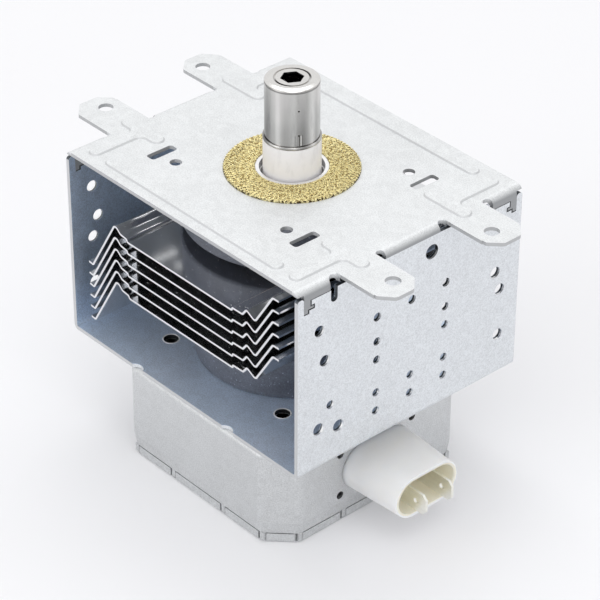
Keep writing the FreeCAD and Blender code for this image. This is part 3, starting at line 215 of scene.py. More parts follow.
class AntennaSettings(bpy.types.PropertyGroup):
    """Drawn metal of the antenna's cap and collar."""

    colour: bpy.props.FloatVectorProperty(
        name="Colour", description="Metal of the cap and its seam", subtype="COLOR",
        default=(0.93, 0.915, 0.895))
    collar_colour: bpy.props.FloatVectorProperty(
        name="Collar", description="Metal of the collar round the ceramic", subtype="COLOR",
        default=(0.96, 0.945, 0.935))
    pit_colour: bpy.props.FloatVectorProperty(
        name="Pits", description="Dark pits and lines on the cap's wall", subtype="COLOR",
        default=(0.06, 0.055, 0.05))
    seam_angle: bpy.props.FloatProperty(
        name="Seam angle", description="Where the weld seam lies round the cap", subtype="ANGLE",
        default=-0.487)
    seam_height: bpy.props.FloatProperty(
        name="Seam height", description="How far the seam runs up the cap", unit="LENGTH", default=0.0031)


class GasketSettings(bpy.types.PropertyGroup):
    """Knitted brass wire of the gasket."""

    colour: bpy.props.FloatVectorProperty(
        name="Wire", description="Brass wire", subtype="COLOR", default=(1.0, 0.90, 0.50))
    tarnish: bpy.props.FloatVectorProperty(
        name="Tarnish", description="Darker spots of the wire", subtype="COLOR",
        default=(0.38, 0.26, 0.075))
    shade: bpy.props.FloatVectorProperty(
        name="Depth", description="Shaded wire deeper in the knit", subtype="COLOR",
        default=(0.05, 0.03, 0.01))
    wire: bpy.props.FloatProperty(
        name="Wire thickness", description="Thickness of one strand", unit="LENGTH",
        default=0.00024, min=0.00005)
    rows: bpy.props.IntProperty(
        name="Rows", description="Strands from the inner to the outer edge", default=16, min=3)
    loops: bpy.props.IntProperty(
        name="Loops", description="Loops of one strand round the ring", default=96, min=8)


class ConnectorSettings(bpy.types.PropertyGroup):
    """Moulded shroud and its blades."""

    shroud: bpy.props.FloatVectorProperty(
        name="Shroud", description="Outside of the shroud", subtype="COLOR", default=(0.94, 0.935, 0.925))
    # Painted glow: the warmer colour stands in for light shining through the plastic
    cavity: bpy.props.FloatVectorProperty(
        name="Cavity", description="Warmer plastic inside the shroud", subtype="COLOR",
        default=(1.0, 0.89, 0.69))
    blade: bpy.props.FloatVectorProperty(
        name="Blades", description="Tinned blades", subtype="COLOR", default=(0.90, 0.88, 0.82))


class StageSettings(bpy.types.PropertyGroup):
    """Camera, floor and lights."""

    azimuth: bpy.props.FloatProperty(
        name="Azimuth", description="Camera's turn round the object", subtype="ANGLE",
        default=math.radians(48.278))
    elevation: bpy.props.FloatProperty(
        name="Elevation", description="Camera's height angle", subtype="ANGLE",
        default=math.radians(33.869))
    roll: bpy.props.FloatProperty(
        name="Roll", description="Camera's roll", subtype="ANGLE", default=math.radians(0.173))
    distance: bpy.props.FloatProperty(
        name="Distance", description="Camera to its target", unit="LENGTH", default=0.700611)
    target: bpy.props.FloatVectorProperty(
        name="Target", description="Point in the middle of the view", subtype="TRANSLATION",
        default=(0.049362, -0.041028, 0.0))
    lens: bpy.props.FloatProperty(
        name="Lens", description="Focal length", unit="CAMERA", default=168.12)
    floor_colour: bpy.props.FloatVectorProperty(
        name="Floor", description="Pale floor", subtype="COLOR", default=(0.91, 0.91, 0.93))
    key_power: bpy.props.FloatProperty(
        name="Key power", description="High lamp on the camera's side", unit="POWER", default=3.0)
    side_power: bpy.props.FloatProperty(
        name="Side power", description="Low lamp on the connector's side", unit="POWER", default=1.6)
    fill_power: bpy.props.FloatProperty(
        name="Fill power", description="Low lamp that looks in at the fins", unit="POWER", default=2.4)
    back_power: bpy.props.FloatProperty(
        name="Back power", description="High lamp behind the object", unit="POWER", default=9.2)
    sky: bpy.props.FloatProperty(
        name="Sky", description="Strength of the plain surroundings", default=0.68)


# Shader building blocks
def start_material(name, metallic=0.0, roughness=0.5, specular=0.5):
    """A material holding one surface shader, and its node tree."""
    material = bpy.data.materials.new(name)
    material.use_nodes = True
    tree = material.node_tree
    surface = tree.nodes["Principled BSDF"]
    surface.inputs["Metallic"].default_value = metallic
    surface.inputs["Roughness"].default_value = roughness
    surface.inputs["Specular IOR Level"].default_value = specular
    return material, tree, surface


def place_coords(tree, stretch=(1.0, 1.0, 1.0)):
    """The object's own coordinates, stretched along each axis."""
    coords = tree.nodes.new("ShaderNodeTexCoord")
    mapping = tree.nodes.new("ShaderNodeMapping")
    mapping.inputs["Scale"].default_value = stretch
    tree.links.new(coords.outputs["Object"], mapping.inputs["Vector"])
    return mapping.outputs["Vector"]


def clouds(tree, coords, scale, detail=3.0, rough=0.55):
    """Soft noise from 0 to 1."""
    noise = tree.nodes.new("ShaderNodeTexNoise")
    noise.inputs["Scale"].default_value = scale
    noise.inputs["Detail"].default_value = detail
    noise.inputs["Roughness"].default_value = rough
    tree.links.new(coords, noise.inputs["Vector"])
    return noise.outputs["Fac"]


def crystals(tree, coords, scale):
    """One random tone for each crystal."""
    cells = tree.nodes.new("ShaderNodeTexVoronoi")
    cells.inputs["Scale"].default_value = scale
    split = tree.nodes.new("ShaderNodeSeparateColor")
    tree.links.new(coords, cells.inputs["Vector"])
    tree.links.new(cells.outputs["Color"], split.inputs["Color"])
    return split.outputs["Red"]


def spread(tree, value, low, high, start=0.0, end=1.0):
    """Carries a value from the range start to end into the range low to high."""
    ranger = tree.nodes.new("ShaderNodeMapRange")
    ranger.inputs["From Min"].default_value = start
    ranger.inputs["From Max"].default_value = end
    ranger.inputs["To Min"].default_value = low
    ranger.inputs["To Max"].default_value = high
    tree.links.new(value, ranger.inputs["Value"])
    return ranger.outputs["Result"]


def sums(tree, kind, first, second):
    """One sum of two values, each a socket or a number."""
    maths = tree.nodes.new("ShaderNodeMath")
    maths.operation = kind
    for spot, value in enumerate((first, second)):
        if isinstance(value, (int, float)):
            maths.inputs[spot].default_value = value
        else:
            tree.links.new(value, maths.inputs[spot])
    return maths.outputs["Value"]


def plus(tree, first, second):
    """First and second together."""
    return sums(tree, "ADD", first, second)


def times(tree, first, second):
    """First times second."""
    return sums(tree, "MULTIPLY", first, second)


def size_of(tree, value):
    """The value without its sign."""
    return sums(tree, "ABSOLUTE", value, 0.0)


def blend_colours(tree, factor, first, second):
    """Runs from the first colour to the second."""
    mixer = tree.nodes.new("ShaderNodeMix")
    mixer.data_type = "RGBA"
    tree.links.new(factor, mixer.inputs["Factor"])
    for name, value in (("A", first), ("B", second)):
        spot = [one for one in mixer.inputs if one.name == name and one.type == "RGBA"][0]
        if isinstance(value, bpy.types.NodeSocket):
            tree.links.new(value, spot)
        else:
            spot.default_value = (*value, 1.0)
    return [one for one in mixer.outputs if one.type == "RGBA"][0]


def add_bump(tree, surface, height, strength, distance):
    """Raises the surface by a height map."""
    bump = tree.nodes.new("ShaderNodeBump")
    bump.inputs["Strength"].default_value = strength
    bump.inputs["Distance"].default_value = distance
    tree.links.new(height, bump.inputs["Height"])
    tree.links.new(bump.outputs["Normal"], surface.inputs["Normal"])


def shade(colour, amount):
    """The colour times an amount."""
    return tuple(min(1.0, part * amount) for part in colour)


def split_coords(tree, coords):
    """The three coordinates, each by itself."""
    split = tree.nodes.new("ShaderNodeSeparateXYZ")
    tree.links.new(coords, split.inputs["Vector"])
    return split.outputs["X"], split.outputs["Y"], split.outputs["Z"]


def between(tree, value, start, end, soft=0.04 * MM):
    """1 from start to end and 0 elsewhere."""
    after = spread(tree, value, 0.0, 1.0, start - soft, start)
    before = spread(tree, value, 1.0, 0.0, end, end + soft)
    return times(tree, after, before)


def axis_reach(tree, x, y):
    """Squared distance from the upright axis."""
    return plus(tree, sums(tree, "POWER", x, 2.0), sums(tree, "POWER", y, 2.0))


def within_radius(tree, reach, radius, soft):
    """1 inside the radius and 0 outside it, where reach is the squared distance."""
    return spread(tree, reach, 1.0, 0.0, (radius - soft) ** 2, radius ** 2)


def seen_rays(tree):
    """1 for rays of the camera, of reflections and through glass."""
    path = tree.nodes.new("ShaderNodeLightPath")
    seen = plus(tree, path.outputs["Is Camera Ray"], path.outputs["Is Glossy Ray"])
    return plus(tree, seen, path.outputs["Is Transmission Ray"])


def inside_yoke(tree, coords):
    """1 on the yoke's inner faces and 0 outside, then the same for its floor alone."""
    low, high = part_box("yoke_frame")
    x, _, z = split_coords(tree, coords)
    wall = high.x - SHEET_T + FACE_SOFT
    floor = low.z + SHEET_T - FACE_SOFT
    width = spread(tree, size_of(tree, x), 1.0, 0.0, wall, wall + FACE_SOFT / 2)
    above = spread(tree, z, 0.0, 1.0, floor - FACE_SOFT / 2, floor)
    inside = times(tree, width, above)
    bottom = spread(tree, z, 1.0, 0.0, floor + 0.5 * MM, floor + 3.0 * MM)
    return inside, times(tree, inside, bottom)


def yoke_edges(tree, coords, coat, sheet):
    """Bright sheared holes with painted shade on their inner half, painted shade in the slots and vents,
    and painted shade on the sheet ends.
    """
    low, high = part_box("yoke_frame")
    x, y, z = split_coords(tree, coords)
    across = size_of(tree, x)
    along = size_of(tree, y)
    cut = between(tree, across, high.x - SHEET_T + SKIN, high.x - SKIN)
    holes = times(tree, cut, between(tree, z, low.z + 2 * SHEET_T, high.z - SLOT_ZONE))
    middle = high.x - SHEET_T / 2
    # Painted shade on the inner half of each hole's cut wall
    shadowed = times(tree, holes, spread(tree, across, 1.0, 0.0, middle - SKIN / 4, middle + SKIN / 4))
    # Painted shade on the cut sides of the slots near the wall's top
    slots = times(tree, cut, spread(tree, z, 0.0, 1.0, high.z - SLOT_ZONE, high.z - SLOT_ZONE + 0.2 * MM))
    side = high.x - VENT_SIDE
    notch = high.y - NOTCH_ZONE
    # Painted shade on the cut walls of the vents in the floor
    vents = between(tree, z, low.z + 0.06 * MM, low.z + SHEET_T - SKIN)
    vents = times(tree, vents, spread(tree, across, 1.0, 0.0, side, side + FACE_SOFT))
    vents = times(tree, vents, spread(tree, along, 1.0, 0.0, notch, notch + FACE_SOFT))
    # Painted shade on the sheet's cut ends
    ends = spread(tree, along, 0.0, 1.0, high.y - 0.04 * MM, high.y - 0.01 * MM)
    coat = blend_colours(tree, vents, coat, sheet.slot_colour)
    coat = blend_colours(tree, holes, coat, sheet.edge_colour)
    coat = blend_colours(tree, shadowed, coat, sheet.slot_colour)
    coat = blend_colours(tree, slots, coat, sheet.slot_colour)
    return blend_colours(tree, ends, coat, sheet.end_colour)


def plate_edges(tree, coords, coat, sheet):
    """Painted shade on the flanges, bead slopes and cut ends of the top plate."""
    x, _, z = split_coords(tree, coords)
    across = size_of(tree, x)
    # Painted shade on the down-turned bends and flanges
    bends = spread(tree, z, 1.0, 0.0, BEND_LOW_Z, BEND_HIGH_Z)
    coat = blend_colours(tree, bends, coat, sheet.flange_colour)
    # Painted shade on the beads' slopes, which outlines the beads
    slopes = between(tree, z, BEAD_LOW_Z, BEAD_HIGH_Z, 0.02 * MM)
    coat = blend_colours(tree, slopes, coat, sheet.end_colour)
    # Painted shade on the plate's cut ends
    cut = sums(tree, "SUBTRACT", 1.0, between(tree, across, BEND_INNER, BEND_OUTER))
    cut = times(tree, cut, between(tree, z, CUT_LOW_Z, CUT_HIGH_Z))
    return blend_colours(tree, cut, coat, shade(sheet.end_colour, 0.8))


# Finishes
def zinc_coat(name, colour, sheet, metallic=0.85, inner_colour=None, edges=None):
    """Zinc-coated steel: faint crystals, fine grain, soft handling marks; painted shade inside the yoke and
    on the cut edges where asked.
    """
    material, tree, surface = start_material(name, metallic=metallic)
    coords = place_coords(tree)
    tone = crystals(tree, coords, 1.0 / sheet.spangle)
    grain = spread(tree, clouds(tree, coords, 2600.0, 3.0, 0.7), 0.0, 1.0, 0.3, 0.7)
    marks = clouds(tree, place_coords(tree, (1.0, 1.0, 0.3)), 60.0, 5.0, 0.6)
    mixed = plus(tree, spread(tree, tone, -0.04, 0.20), spread(tree, grain, -0.20, 1.00))
    mixed = plus(tree, mixed, spread(tree, marks, -0.10, 0.22))
    coat = blend_colours(tree, mixed, shade(colour, 0.84), shade(colour, 1.12))
    # Painted shade: the yoke's inner faces take a bluer, darker copy of the zinc, and its inner floor is
    # less metallic
    if inner_colour is not None:
        inner_shade = blend_colours(tree, mixed, shade(inner_colour, 0.80), shade(inner_colour, 1.18))
        inside, floor = inside_yoke(tree, coords)
        coat = blend_colours(tree, inside, coat, inner_shade)
        tree.links.new(spread(tree, floor, metallic, 0.48), surface.inputs["Metallic"])
    if edges is not None:
        coat = edges(tree, coords, coat, sheet)
    tree.links.new(coat, surface.inputs["Base Color"])
    rough = plus(tree, spread(tree, marks, -0.07, 0.07), spread(tree, tone, -0.04, 0.04))
    rough = plus(tree, rough, sheet.roughness)
    tree.links.new(rough, surface.inputs["Roughness"])
    add_bump(tree, surface, grain, 0.18, 0.00006)
    return material


def rolled_aluminium(fins):
    """Bright aluminium with streaks along the rolling direction."""
    material, tree, surface = start_material("rolled_aluminium", metallic=1.0)
    coords = place_coords(tree, (40.0, 900.0, 900.0))
    streaks = clouds(tree, coords, 1.0, 4.0, 0.6)
    smears = clouds(tree, place_coords(tree), 70.0, 4.0, 0.6)
    chips = clouds(tree, place_coords(tree, (0.5, 1.0, 1.0)), 1500.0, 2.0, 0.6)
    tree.links.new(spread(tree, chips, 1.0, 0.25, 0.69, 0.73), surface.inputs["Metallic"])
    tone = plus(tree, spread(tree, streaks, 0.0, 0.6), spread(tree, smears, 0.0, 0.4))
    colours = blend_colours(tree, tone, shade(fins.colour, 0.86), shade(fins.colour, 1.08))
    tree.links.new(colours, surface.inputs["Base Color"])
    rough = spread(tree, smears, fins.roughness - 0.05, fins.roughness + 0.12)
    tree.links.new(rough, surface.inputs["Roughness"])
    add_bump(tree, surface, streaks, 0.10, 0.00004)
    return material


def ground_ferrite(core):
    """Dark magnet ceramic with a ground, faintly shining face."""
    material, tree, surface = start_material("ground_ferrite", specular=0.55)
    coords = place_coords(tree)
    grit = clouds(tree, coords, 1800.0, 3.0, 0.7)
    wear = clouds(tree, coords, 120.0, 4.0, 0.6)
    tone = plus(tree, spread(tree, grit, -0.3, 0.8), spread(tree, wear, -0.2, 0.7))
    colours = blend_colours(tree, tone, shade(core.ferrite, 0.5), shade(core.ferrite, 1.9))
    flecks = spread(tree, clouds(tree, coords, 1300.0, 2.0, 0.6), 0.0, 0.7, 0.66, 0.72)
    colours = blend_colours(tree, flecks, colours, shade(core.ferrite, 5.0))
    tree.links.new(colours, surface.inputs["Base Color"])
    tree.links.new(spread(tree, wear, 0.30, 0.50), surface.inputs["Roughness"])
    add_bump(tree, surface, grit, 0.25, 0.00008)
    return material


def fired_ceramic(name, colour):
    """White alumina with faint grey rub marks."""
    material, tree, surface = start_material(name, specular=0.4)
    coords = place_coords(tree)
    grain = clouds(tree, coords, 2200.0, 3.0, 0.6)
    rubs = clouds(tree, place_coords(tree, (1.0, 1.0, 0.35)), 260.0, 5.0, 0.65)
    smudge = spread(tree, rubs, 0.0, 1.0, 0.55, 0.85)
    colours = blend_colours(tree, smudge, colour, shade(colour, 0.80))
    tree.links.new(colours, surface.inputs["Base Color"])
    tree.links.new(spread(tree, grain, 0.42, 0.58), surface.inputs["Roughness"])
    add_bump(tree, surface, grain, 0.12, 0.00005)
    return material


def plain_metal(name, colour, roughness, stretch=(1.0, 1.0, 1.0), scale=900.0, metallic=1.0):
    """Bare metal with drawing streaks and stains."""
    material, tree, surface = start_material(name, metallic=metallic)
    streaks = clouds(tree, place_coords(tree, stretch), scale, 3.0, 0.6)
    stains = clouds(tree, place_coords(tree), 150.0, 4.0, 0.6)
    tone = plus(tree, spread(tree, streaks, 0.0, 0.5), spread(tree, stains, 0.0, 0.5))
    colours = blend_colours(tree, tone, shade(colour, 0.82), shade(colour, 1.14))
    tree.links.new(colours, surface.inputs["Base Color"])
    tree.links.new(spread(tree, stains, roughness - 0.06, roughness + 0.10), surface.inputs["Roughness"])
    add_bump(tree, surface, streaks, 0.08, 0.00004)
    return material


def band_tone(tree, x, y):
    """How light the cap's painted reflection bands are, by the angle round its axis."""
    turn = spread(tree, sums(tree, "ARCTAN2", y, x), 0.0, 1.0, -math.pi, math.pi)
    ramp = tree.nodes.new("ShaderNodeValToRGB")
    ramp.color_ramp.interpolation = "CARDINAL"
    stops = ramp.color_ramp.elements
    for angle, tone in CAP_REFLECTION_BANDS:
        stop = stops.new((angle + 180.0) / 360.0)
        stop.color = (tone, tone, tone, 1.0)
    stops.remove(stops[0])
    stops.remove(stops[-1])
    tree.links.new(turn, ramp.inputs["Fac"])
    return ramp.outputs["Color"]


def cap_hollows(tree, x, y, z, top):
    """Painted shade in the socket, the inside of the cap and two arcs of the groove round the socket."""
    reach = axis_reach(tree, x, y)
    socket = within_radius(tree, reach, SOCKET_R, 0.3 * MM)
    socket = times(tree, socket, spread(tree, z, 1.0, 0.0, top - 0.5 * MM, top - 0.3 * MM))
    inner = within_radius(tree, reach, CAP_INSIDE_R, 0.2 * MM)
    inner = times(tree, inner, spread(tree, z, 1.0, 0.0, top - 1.2 * MM, top - 1.0 * MM))
    groove = between(tree, reach, GROOVE_IN_R ** 2, GROOVE_OUT_R ** 2, MM * MM)
    groove = times(tree, groove, spread(tree, z, 1.0, 0.0, top - 0.2 * MM, top - 0.05 * MM))
    arcs = sums(tree, "DIVIDE", sums(tree, "POWER", y, 2.0), plus(tree, reach, 0.01 * MM * MM))
    groove = times(tree, groove, spread(tree, arcs, 0.0, 0.75, 0.35, 0.95))
    dark = sums(tree, "MAXIMUM", sums(tree, "MAXIMUM", socket, inner), groove)
    return spread(tree, dark, 1.0, 0.04)


def drawn_cap(antenna):
    """Drawn metal with painted reflection bands up the cap's wall, a painted highlight on the top, and
    painted shade under the top edge, in the hollows and towards the foot.
    """
    material, tree, surface = start_material("drawn_cap", metallic=1.0)
    low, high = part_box("antenna_cap")
    coords = place_coords(tree)
    x, y, z = split_coords(tree, coords)
    # Painted reflection bands lie on the wall only and weaken towards the top
    wall = spread(tree, z, 1.0, 0.0, high.z - 1.0 * MM, high.z - 0.4 * MM)
    banded = times(tree, wall, spread(tree, z, 1.0, 0.45, low.z + 4.0 * MM, high.z))
    streaks = clouds(tree, place_coords(tree, (1.0, 1.0, 0.03)), 1500.0, 3.0, 0.6)
    stains = clouds(tree, coords, 180.0, 4.0, 0.6)
    tone = times(tree, sums(tree, "SUBTRACT", band_tone(tree, x, y), 0.70), banded)
    tone = plus(tree, tone, spread(tree, streaks, 0.62, 0.72))
    tone = plus(tree, tone, spread(tree, stains, -0.04, 0.06))
    # Painted highlight: the top is lighter than the wall
    tone = plus(tree, tone, spread(tree, wall, 0.10, 0.0))
    # Painted shade: darker towards the foot
    tone = times(tree, tone, spread(tree, z, 0.86, 1.0, low.z + 1.0 * MM, low.z + 9.0 * MM))
    # Painted shade: a dark ring just under the top edge
    painted_ring = between(tree, z, high.z - 1.15 * MM, high.z - 0.75 * MM)
    tone = times(tree, tone, spread(tree, painted_ring, 1.0, 0.45))
    # Painted shade in the socket, the groove and the inside of the cap
    tone = times(tree, tone, cap_hollows(tree, x, y, z, high.z))
    colours = blend_colours(tree, tone, (0.0, 0.0, 0.0), antenna.colour)
    tree.links.new(colours, surface.inputs["Base Color"])
    tree.links.new(spread(tree, stains, 0.17, 0.27), surface.inputs["Roughness"])
    add_bump(tree, surface, streaks, 0.06, 0.00004)
    return material


def collar_metal(antenna):
    """Bright collar, shaded in the gap round the ceramic."""
    material = plain_metal("collar_metal", antenna.collar_colour, 0.30)
    tree = material.node_tree
    base = tree.nodes["Principled BSDF"].inputs["Base Color"]
    bright = base.links[0].from_socket
    x, y, _ = split_coords(tree, place_coords(tree))
    gap = within_radius(tree, axis_reach(tree, x, y), COLLAR_GAP_R, 0.2 * MM)
    tree.links.new(blend_colours(tree, gap, bright, shade(antenna.collar_colour, 0.16)), base)
    return material


def knit_shadow(gasket):
    """The knit's depth: dark brass with a fine weave of light strands."""
    material, tree, surface = start_material("knit_shadow", metallic=0.7, roughness=0.5)
    weave = clouds(tree, place_coords(tree), 1700.0, 2.0, 0.5)
    tone = spread(tree, weave, 0.0, 1.0, 0.44, 0.58)
    colours = blend_colours(tree, tone, gasket.shade, shade(gasket.colour, 0.8))
    tree.links.new(colours, surface.inputs["Base Color"])
    add_bump(tree, surface, weave, 0.8, 0.0003)
    return material


def brass_wire(gasket):
    """Bright brass wire with slight tarnish."""
    material, tree, surface = start_material("brass_wire", metallic=0.9, roughness=0.34)
    tarnish = clouds(tree, place_coords(tree), 1300.0, 3.0, 0.6)
    tone = spread(tree, tarnish, 0.0, 1.0, 0.38, 0.54)
    colours = blend_colours(tree, tone, gasket.tarnish, gasket.colour)
    tree.links.new(colours, surface.inputs["Base Color"])
    return material


def shroud_depth(tree, coords):
    """How deep a point lies inside the shroud's tapering oval."""
    low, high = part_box("connector_housing")
    middle = (low + high) / 2
    x, y, z = split_coords(tree, coords)
    half_h = (high.z - low.z) / 2
    straight = (high.y - low.y) / 2 - half_h
    side = size_of(tree, sums(tree, "SUBTRACT", y, middle.y))
    side = sums(tree, "MAXIMUM", sums(tree, "SUBTRACT", side, straight), 0.0)
    rise = sums(tree, "SUBTRACT", z, middle.z)
    span = plus(tree, times(tree, side, side), times(tree, rise, rise))
    taper = spread(tree, x, half_h, half_h - 0.6 * MM, low.x, high.x)
    return sums(tree, "SUBTRACT", taper, sums(tree, "SQRT", span, 0.0))


def moulded_shroud(connector):
    """Smooth white plastic outside; inside the cavity a warmer colour, painted as the glow of light through
    the plastic.
    """
    material, tree, surface = start_material("moulded_shroud", specular=0.45)
    coords = place_coords(tree)
    inside = spread(tree, shroud_depth(tree, coords), 0.0, 1.0, 0.75 * MM, 1.0 * MM)
    cloud = clouds(tree, coords, 110.0, 3.0, 0.5)
    outside = blend_colours(tree, cloud, shade(connector.shroud, 0.95), shade(connector.shroud, 1.05))
    # Painted glow of light through the plastic, inside the cavity
    painted_glow = blend_colours(tree, cloud, shade(connector.cavity, 0.92), shade(connector.cavity, 1.06))
    tree.links.new(blend_colours(tree, inside, outside, painted_glow), surface.inputs["Base Color"])
    tree.links.new(spread(tree, cloud, 0.34, 0.46), surface.inputs["Roughness"])
    surface.inputs["Subsurface Weight"].default_value = 0.85
    surface.inputs["Subsurface Radius"].default_value = (1.0, 0.92, 0.80)
    surface.inputs["Subsurface Scale"].default_value = 0.005
    add_bump(tree, surface, clouds(tree, coords, 1400.0, 2.0, 0.5), 0.04, 0.00004)
    return material


# Mesh helpers
def add_mesh(name, corners, faces, material):
    """A new piece on the body, from its corner points and faces."""
    mesh = bpy.data.meshes.new(name)
    mesh.from_pydata(corners, [], faces)
    mesh.validate()
    mesh.shade_smooth()
    mesh.materials.append(material)
    piece = bpy.data.objects.new(name, mesh)
    bpy.context.scene.collection.objects.link(piece)
    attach(piece, BODY)


def closed_strand(points, radius, corners, faces):
    """Adds one closed strand of wire that follows the points."""
    first = len(corners)
    count = len(points)
    for spot, point in enumerate(points):
        ahead = (points[(spot + 1) % count] - points[spot - 1]).normalized()
        across = ahead.cross(Vector((0.0, 0.0, 1.0))).normalized()
        over = across.cross(ahead)
        for side in range(WIRE_SIDES):
            angle = 2.0 * math.pi * side / WIRE_SIDES
            corners.append(point + (across * math.cos(angle) + over * math.sin(angle)) * radius)
    for spot in range(count):
        after = (spot + 1) % count
        for side in range(WIRE_SIDES):
            beside = (side + 1) % WIRE_SIDES
            ring = first + spot * WIRE_SIDES
            next_ring = first + after * WIRE_SIDES
            faces.append((ring + side, ring + beside, next_ring + beside, next_ring + side))


def flat_ring(spot, corners, faces):
    """Adds one low oval ring round the spot."""
    first = len(corners)
    around, section = 48, 8
    for step in range(around):
        angle = 2.0 * math.pi * step / around
        out = Vector((math.cos(angle), math.sin(angle), 0.0))
        for side in range(section):
            turn = 2.0 * math.pi * side / section
            rise = Vector((0.0, 0.0, RIM_HALF_H * math.sin(turn)))
            corners.append(spot + out * (RIM_R + RIM_HALF_W * math.cos(turn)) + rise)
    for step in range(around):
        ring = first + step * section
        after = first + (step + 1) % around * section
        for side in range(section):
            beside = (side + 1) % section
            faces.append((ring + side, after + side, after + beside, ring + beside))


def finish_node(name, material):
    """Gives a solid of the frame its finish."""
    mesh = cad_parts[name].data
    mesh.materials.clear()
    mesh.materials.append(material)


# Operators, one for each piece or group of like pieces
class MAGNETRON_OT_sheet_steel(bpy.types.Operator):
    """Coat the top plate, yoke, filter box and cover with zinc"""

    bl_idname = "magnetron.sheet_steel"
    bl_label = "Sheet steel"

    def execute(self, context):
        sheet = context.scene.magnetron_sheet
        plate_zinc = zinc_coat("plate_zinc", sheet.plate_colour, sheet, 0.35, edges=plate_edges)
        yoke_zinc = zinc_coat("yoke_zinc", sheet.yoke_colour, sheet, 0.85, sheet.inner_colour, yoke_edges)
        box_zinc = zinc_coat("box_zinc", sheet.box_colour, sheet)
        finish_node("top_plate", plate_zinc)
        finish_node("yoke_frame", yoke_zinc)
        finish_node("filter_box", box_zinc)
        finish_node("filter_box_cover", box_zinc)
        return {"FINISHED"}


class MAGNETRON_OT_vent_rims(bpy.types.Operator):
    """Add painted highlight rings round the four vent holes in the yoke's floor"""

    bl_idname = "magnetron.vent_rims"
    bl_label = "Vent rims"

    def execute(self, context):
        low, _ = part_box("yoke_frame")
        corners = []
        faces = []
        for spot_x in (-VENT_X, VENT_X):
            for spot_y in (-VENT_Y, VENT_Y):
                flat_ring(Vector((spot_x, spot_y, low.z + SHEET_T)), corners, faces)
        # Painted highlight: a pale, low ring on the floor round each vent hole
        painted_ring = plain_metal("vent_rim", context.scene.magnetron_sheet.edge_colour, 0.30, metallic=0.2)
        add_mesh("vent_rims", corners, faces, painted_ring)
        return {"FINISHED"}


class MAGNETRON_OT_fins(bpy.types.Operator):
    """Give the cooling fins their rolled aluminium"""

    bl_idname = "magnetron.fins"
    bl_label = "Cooling fins"

    def execute(self, context):
        metal = rolled_aluminium(context.scene.magnetron_fins)
        for number in range(1, 7):
            finish_node("fin_" + str(number), metal)
        return {"FINISHED"}


class MAGNETRON_OT_core(bpy.types.Operator):
    """Finish the magnets, the sealed tube and the parts inside the filter box"""

    bl_idname = "magnetron.core"
    bl_label = "Magnets and inner parts"

    def execute(self, context):
        core = context.scene.magnetron_core
        groups = (
            (ground_ferrite(core), ("upper_magnet", "lower_magnet", "choke_core_front", "choke_core_back")),
            (fired_ceramic("stem_alumina", core.ceramic), ("stem_ceramic", "capacitor_body")),
            (plain_metal("copper", core.copper, 0.30), (
                "anode_block", "strap_upper_inner", "strap_upper_outer", "strap_lower_inner",
                "strap_lower_outer", "antenna_lead", "choke_coil_front", "choke_coil_back")),
            (plain_metal("dull_copper", core.dull_copper, 0.5), ("exhaust_tube",)),
            (plain_metal("inner_steel", core.inner_steel, 0.36), (
                "upper_pole_piece", "lower_pole_piece", "lower_seal_shell", "capacitor_plate")),
            (plain_metal("tungsten", core.tungsten, 0.42), (
                "cathode_filament", "upper_end_hat", "lower_end_hat", "centre_lead", "side_lead")),
        )
        for material, names in groups:
            for name in names:
                finish_node(name, material)
        return {"FINISHED"}


class MAGNETRON_OT_antenna(bpy.types.Operator):
    """Finish the antenna's cap, collar and ceramic, and add the cap's weld seam and pits"""

    bl_idname = "magnetron.antenna"
    bl_label = "Antenna"

    def execute(self, context):
        antenna = context.scene.magnetron_antenna
        finish_node("antenna_cap", drawn_cap(antenna))
        finish_node("upper_seal_shell", collar_metal(antenna))
        alumina = fired_ceramic("antenna_alumina", context.scene.magnetron_core.ceramic)
        finish_node("antenna_ceramic", alumina)
        low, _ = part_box("antenna_cap")
        start = low.z + FLARE_H
        head = start + antenna.seam_height
        bright = plain_metal("seam_metal", shade(antenna.colour, 0.62), 0.30)
        dark = plain_metal("pit_metal", antenna.pit_colour, 0.6)
        self.add_strips("cap_seam", SEAM_BEAD, antenna, start, head, bright)
        self.add_strips("cap_seam_lines", SEAM_LINES, antenna, start, head, dark)
        self.add_pits(antenna, (head, HIGH_PIT_Z), dark)
        return {"FINISHED"}

    def wall_point(self, angle, lift, height):
        """A point on the cap's wall, or a little off it."""
        reach = CAP_R + lift
        return Vector((math.cos(angle) * reach, math.sin(angle) * reach, height))

    def add_strips(self, name, strips, antenna, start, head, material):
        """Narrow upright strips that stand a little proud of the cap's wall."""
        corners = []
        faces = []
        across = 5
        for offset, width in strips:
            first = len(corners)
            for height in (start, head):
                for column in range(across):
                    side = column / (across - 1) - 0.5
                    lift = SEAM_LIFT * math.cos(side * math.pi) - 0.005 * MM
                    turn = antenna.seam_angle + offset + side * width / CAP_R
                    corners.append(self.wall_point(turn, lift, height))
            for spot in range(first, first + across - 1):
                faces.append((spot, spot + 1, spot + across + 1, spot + across))
        add_mesh(name, corners, faces, material)

    def add_pits(self, antenna, heights, material):
        """Small dark pits, one at the seam's head and one above it."""
        corners = []
        faces = []
        sides = 10
        for height in heights:
            first = len(corners)
            for lift, reach in ((0.0, PIT_R), (PIT_LIFT, PIT_TOP_R)):
                for side in range(sides):
                    angle = 2.0 * math.pi * side / sides
                    turn = antenna.seam_angle + reach * math.cos(angle) / CAP_R
                    corners.append(self.wall_point(turn, lift, height + reach * math.sin(angle)))
            for side in range(sides):
                after = (side + 1) % sides
                faces.append((first + side, first + after, first + sides + after, first + sides + side))
            faces.append(tuple(range(first + sides, first + 2 * sides)))
        add_mesh("cap_pits", corners, faces, material)


